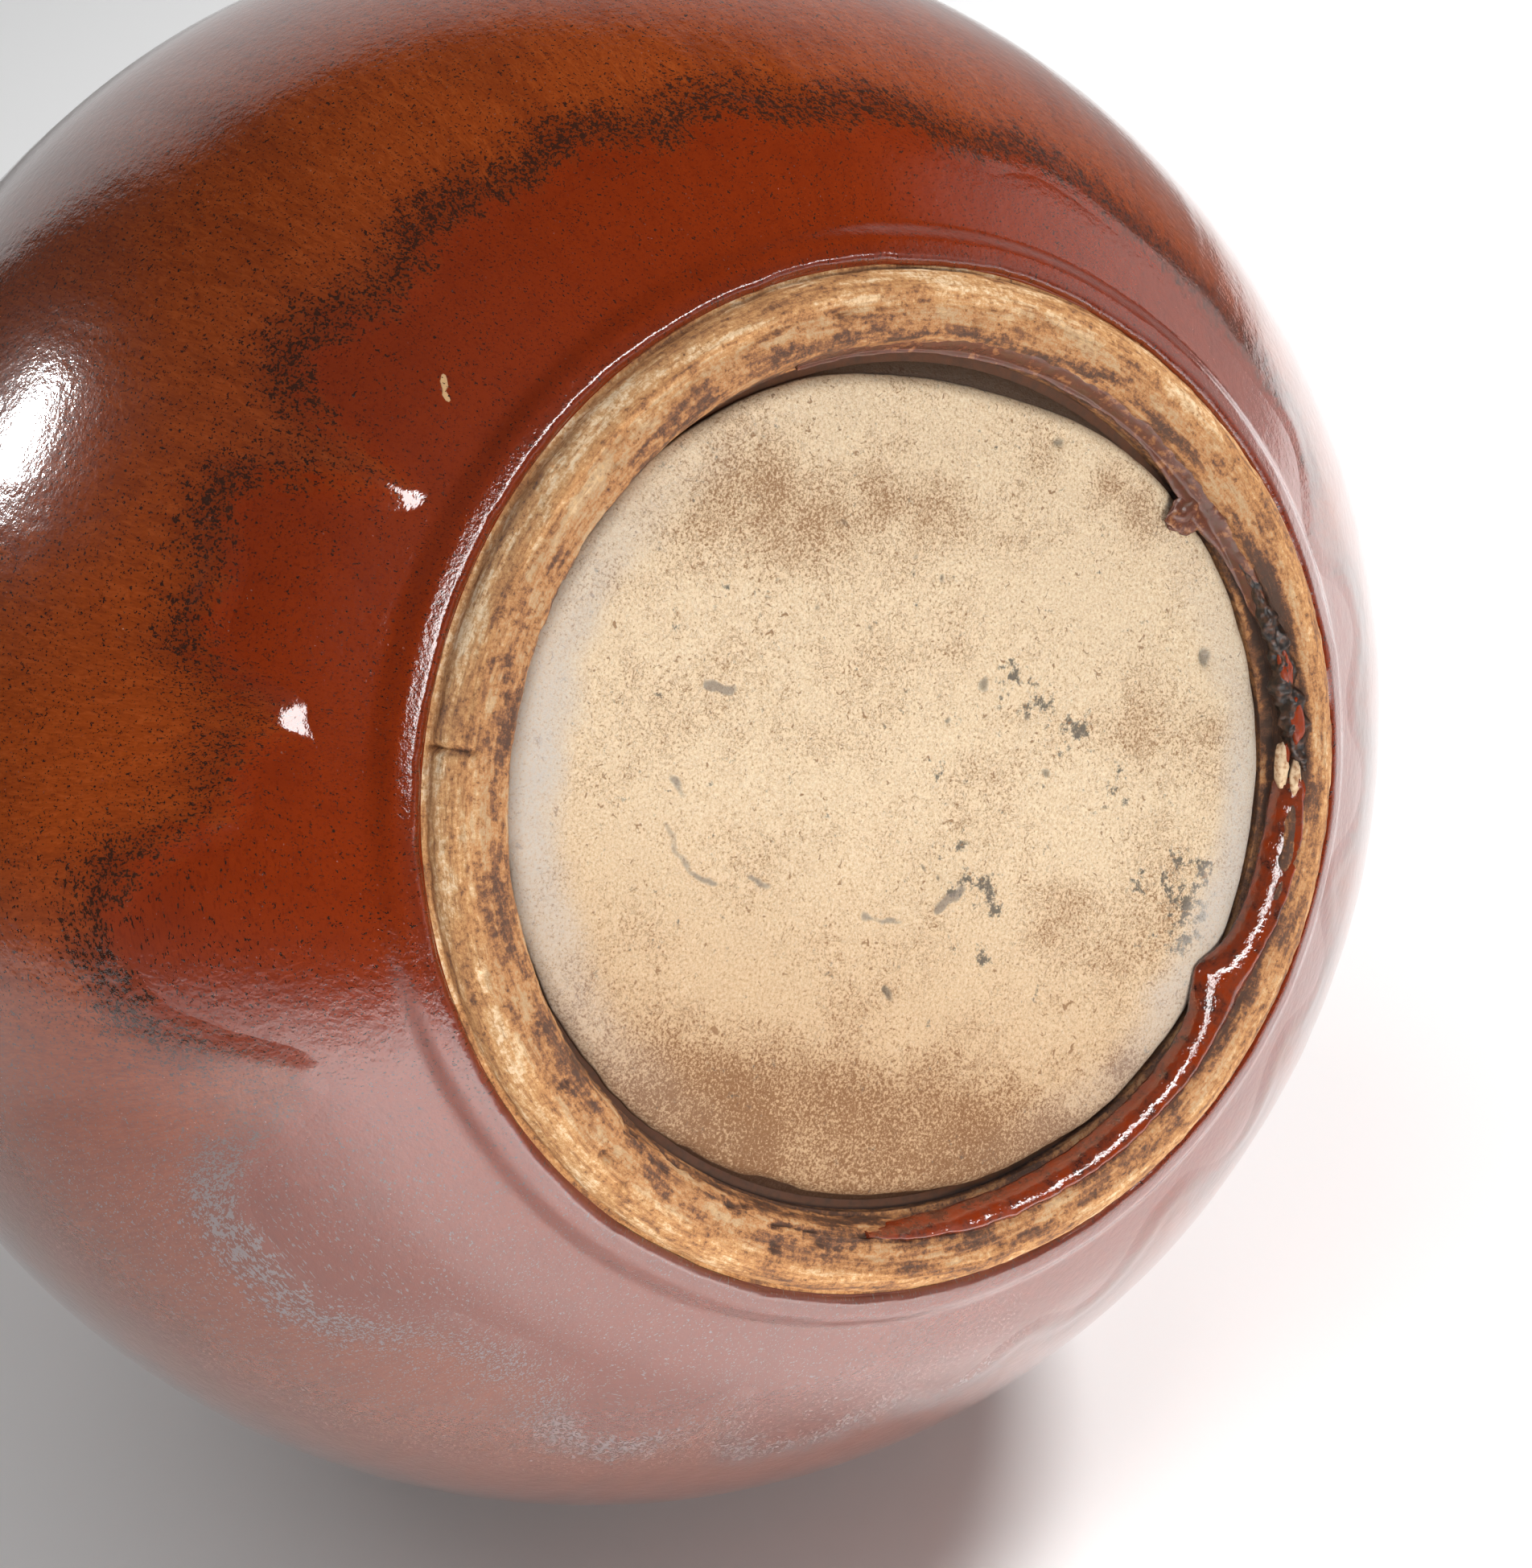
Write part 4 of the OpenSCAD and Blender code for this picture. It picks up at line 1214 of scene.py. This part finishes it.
class VASE_OT_kiln_grit(VaseOperator, bpy.types.Operator):
    """Model the slag, glassy beads and flakes stuck inside the foot"""

    bl_idname = "vase.kiln_grit"
    bl_label = "Kiln Grit"

    def execute(self, context):
        c = look()
        slag = plain_finish("slag_finish", c.slag, c.stain, 0.35, 0.8)
        bead = plain_finish("bead_finish", c.first, c.run, 0.12, 0.6)
        flake = plain_finish("flake_finish", c.pale, c.base_grain, 0.8, 0.7)
        line = along(SLAG, 220)
        crust = tube([polar(r, a, z) for a, r, z, _ in line], line[:, 3], 22, 0.9)
        model("slag_crust", crust, ["kiln_grit"], slag, capped=True)
        kinds = (
            ("red_bead", RED_BEADS, bead, (0.9, 2.6, 0.8), 0.35),
            ("pale_flake", PALE_FLAKES, flake, (0.45, 1.5, 0.5), 0.4),
        )
        for name, places, finish, flat, rough in kinds:
            for i, (a, r, z, size) in enumerate(places):
                grid = lump(a, r, z, size, 7 + i, flat, rough)
                model(f"{name}_{i + 1}", grid, [], finish, capped=True)
        return {"FINISHED"}


class VASE_OT_bodies(VaseOperator, bpy.types.Operator):
    """Give the packed clay, slip and inside glaze their finishes"""

    bl_idname = "vase.bodies"
    bl_label = "Bodies"

    def execute(self, context):
        c = look()
        clay = plain_finish("clay_finish", c.clay, c.flash, 0.85, 3)
        slip = plain_finish("slip_finish", c.flash, c.stain, 0.8, 1.5)
        groove = plain_finish("groove_finish", c.stain, c.iron, 0.8, 1.2)
        inside = plain_finish("inside_glaze_finish", c.inside, c.second_dark, 0.2, 5)
        finishes = {
            "lower_bowl": clay, "upper_bowl": clay, "neck": clay, "belly_seam": slip, "neck_seam": slip,
            "foot_seam": slip, "base_seam": groove, "inside_glaze": inside,
        }
        for node, finish in finishes.items():
            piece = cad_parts[node]
            piece.data.materials.clear()
            piece.data.materials.append(finish)
        return {"FINISHED"}


def lamp(name, place, target, size, power, seen):
    """A soft lamp that faces a point; a seen one shows in reflections and lights nothing else."""
    light = bpy.data.lights.new(name, "AREA")
    light.shape = "ELLIPSE" if seen else "RECTANGLE"
    light.size, light.size_y = (x * MM for x in size)
    light.energy = power
    piece = bpy.data.objects.new(name, light)
    bpy.context.scene.collection.objects.link(piece)
    piece.location = Vector(place) * MM
    piece.rotation_euler = (Vector(target) - Vector(place)).to_track_quat("-Z", "Y").to_euler()
    piece.visible_glossy = seen
    piece.visible_diffuse = not seen
    piece.visible_camera = False
    return piece


def panel(name, corners, finish):
    """A flat panel of the stage."""
    mesh = bpy.data.meshes.new(name)
    mesh.from_pydata([tuple(Vector(p) * MM) for p in corners], [], [(0, 1, 2, 3)])
    mesh.materials.append(finish)
    piece = bpy.data.objects.new(name, mesh)
    bpy.context.scene.collection.objects.link(piece)
    return piece


def table_finish(shade):
    """White table top, clear from below."""
    f = Finish("table_finish", {"Base Color": shade, "Roughness": 0.7, "Specular IOR Level": 0.2})
    back = f.add("NewGeometry", {}, "Backfacing")
    clear = f.add("BsdfTransparent", {})
    top = f.add("MixShader", {0: back, 1: f.shader.outputs[0], 2: clear})
    out = f.tree.nodes["Material Output"]
    f.tree.links.new(top, out.inputs["Surface"])
    return f.material


def card_finish(foot, way, top):
    """White that fades towards a card's upper edge and its far end, clear from behind."""
    f = Finish("card_finish", {})
    place = f.add("VectorMath", {0: f.place(), 1: tuple(foot)}, operation="SUBTRACT")
    height = f.add("VectorMath", {0: place, 1: tuple(top)}, "Value", operation="DOT_PRODUCT")
    reach = f.add("VectorMath", {0: place, 1: tuple(way)}, "Value", operation="DOT_PRODUCT")
    fade = f.times(f.step(height, 1700, 500, 0, 0.6), f.step(reach, 1100, -100, 0.06, 1))
    glow = f.add("Emission", {"Color": (1, 1, 1), "Strength": fade})
    back = f.add("NewGeometry", {}, "Backfacing")
    shown = f.add("MixShader", {0: back, 1: glow, 2: f.add("BsdfTransparent", {})})
    f.tree.links.new(shown, f.tree.nodes["Material Output"].inputs["Surface"])
    return f.material


def card(name, foot, away, way, top, ends, heights):
    """An upright white card, with its two ends along a way and a height at each."""
    low = [foot + away + end * way for end in ends]
    high = [corner + height * top for corner, height in zip(low, heights)]
    piece = panel(name, [*low, *reversed(high)], card_finish(foot, way, top))
    piece.visible_camera = False
    return piece


def room(strength):
    """White behind everything the camera sees, and a dim room for the rest."""
    world = bpy.data.worlds.new("room")
    bpy.context.scene.world = world
    world.use_nodes = True
    nodes, links = world.node_tree.nodes, world.node_tree.links
    dim = nodes["Background"]
    dim.inputs["Color"].default_value = (1, 1, 1, 1)
    dim.inputs["Strength"].default_value = strength
    white = nodes.new("ShaderNodeBackground")
    white.inputs["Color"].default_value = (1, 1, 1, 1)
    path = nodes.new("ShaderNodeLightPath")
    both = nodes.new("ShaderNodeMixShader")
    links.new(path.outputs["Is Camera Ray"], both.inputs[0])
    links.new(dim.outputs[0], both.inputs[1])
    links.new(white.outputs[0], both.inputs[2])
    links.new(both.outputs[0], nodes["World Output"].inputs["Surface"])


class VASE_OT_stage(VaseOperator, bpy.types.Operator):
    """Lay the table under the vase and set the camera and lamps"""

    bl_idname = "vase.stage"
    bl_label = "Stage"

    def execute(self, context):
        st = context.scene.vase_stage
        centre = Vector((0, 0, GLOBE_Z))
        view, right = Vector(VIEW).normalized(), Vector(RIGHT)
        right = (right - right.dot(view) * view).normalized()
        up = right.cross(view)
        tilt = st.camera_tilt
        eye = centre + st.camera_distance / MM * Vector((0, -math.sin(tilt), -math.cos(tilt)))
        data = bpy.data.cameras.new("camera")
        data.sensor_fit, data.sensor_width, data.lens = "HORIZONTAL", SENSOR, st.lens
        data.clip_start, data.clip_end = 0.01, 20
        camera = bpy.data.objects.new("camera", data)
        context.scene.collection.objects.link(camera)
        turned = Matrix((right, up, -view)).transposed().to_4x4()
        camera.matrix_world = Matrix.Translation(eye * MM) @ turned
        context.scene.camera = camera

        globe_r = float(CLAY_R + FIRST_T + SECOND_T)
        flat = (Vector(TABLE_UP).normalized() - TABLE_ROLL * right).normalized()
        ahead = -(view - view.dot(flat) * flat).normalized()
        across = ahead.cross(flat) * -1
        spot = centre - flat * globe_r
        reach, left, far = st.table_reach / MM, st.table_left / MM, st.table_back / MM
        ends = ((reach, -left), (reach, far), (-far, far), (-far, -left))
        panel("table", [spot + a * ahead + b * across for a, b in ends], table_finish(look().table))

        top = Vector(TABLE_UP).normalized()
        toward = -(view - view.dot(top) * top).normalized()
        side = toward.cross(top) * -1
        foot = centre - top * globe_r

        def at(near, right_of, over):
            return foot + near * toward + right_of * side + over * top

        card("backdrop", foot, -1100 * toward, side, top, (-1100, 1800), (1100, 1700))
        glint = card("side_card", foot, 1000 * side, toward, top, (-1000, 800), (1500, 1500))
        glint.visible_diffuse = False
        for name, place, size, power, seen in LAMPS:
            lamp(name, at(*place), centre, size, getattr(st, power), seen)
        for name, way, size, power in GLINTS:
            lamp(name, centre + GLINT_FAR * Vector(way), centre, size, getattr(st, power), True)
        front = lamp("table_lamp", at(540, 60, 450), at(540, 60, 0), (650, 650), st.front, False)
        front.data.spread = math.radians(45)
        room(st.room)
        return {"FINISHED"}


class VASE_PT_finishes(bpy.types.Panel):
    """Steps and settings of the vase's finishes"""

    bl_idname = "VASE_PT_finishes"
    bl_label = "Globe Vase"
    bl_space_type = "VIEW_3D"
    bl_region_type = "UI"
    bl_category = "Vase"

    def draw(self, context):
        for step in STEPS:
            self.layout.operator(step.bl_idname)
        for group in (context.scene.vase_sizes, context.scene.vase_colours, context.scene.vase_stage):
            box = self.layout.box()
            for name in group.__annotations__:
                box.prop(group, name)


STEPS = (
    VASE_OT_first_glaze, VASE_OT_second_glaze, VASE_OT_foot_ring, VASE_OT_base_disc, VASE_OT_foot_run,
    VASE_OT_kiln_grit, VASE_OT_bodies, VASE_OT_stage,
)
GROUPS = (VaseSizes, VaseColours, VaseStage)


def register():
    for cls in (*GROUPS, *STEPS, VASE_PT_finishes):
        bpy.utils.register_class(cls)
    bpy.types.Scene.vase_sizes = PointerProperty(type=VaseSizes)
    bpy.types.Scene.vase_colours = PointerProperty(type=VaseColours)
    bpy.types.Scene.vase_stage = PointerProperty(type=VaseStage)


def unregister():
    del bpy.types.Scene.vase_stage, bpy.types.Scene.vase_colours, bpy.types.Scene.vase_sizes
    for cls in reversed((*GROUPS, *STEPS, VASE_PT_finishes)):
        bpy.utils.unregister_class(cls)


def main():
    register()
    scene = bpy.context.scene
    scene.view_settings.view_transform = "Standard"
    for step in STEPS:
        group, name = step.bl_idname.split(".")
        getattr(getattr(bpy.ops, group), name)()


if __name__ == "__main__":
    main()
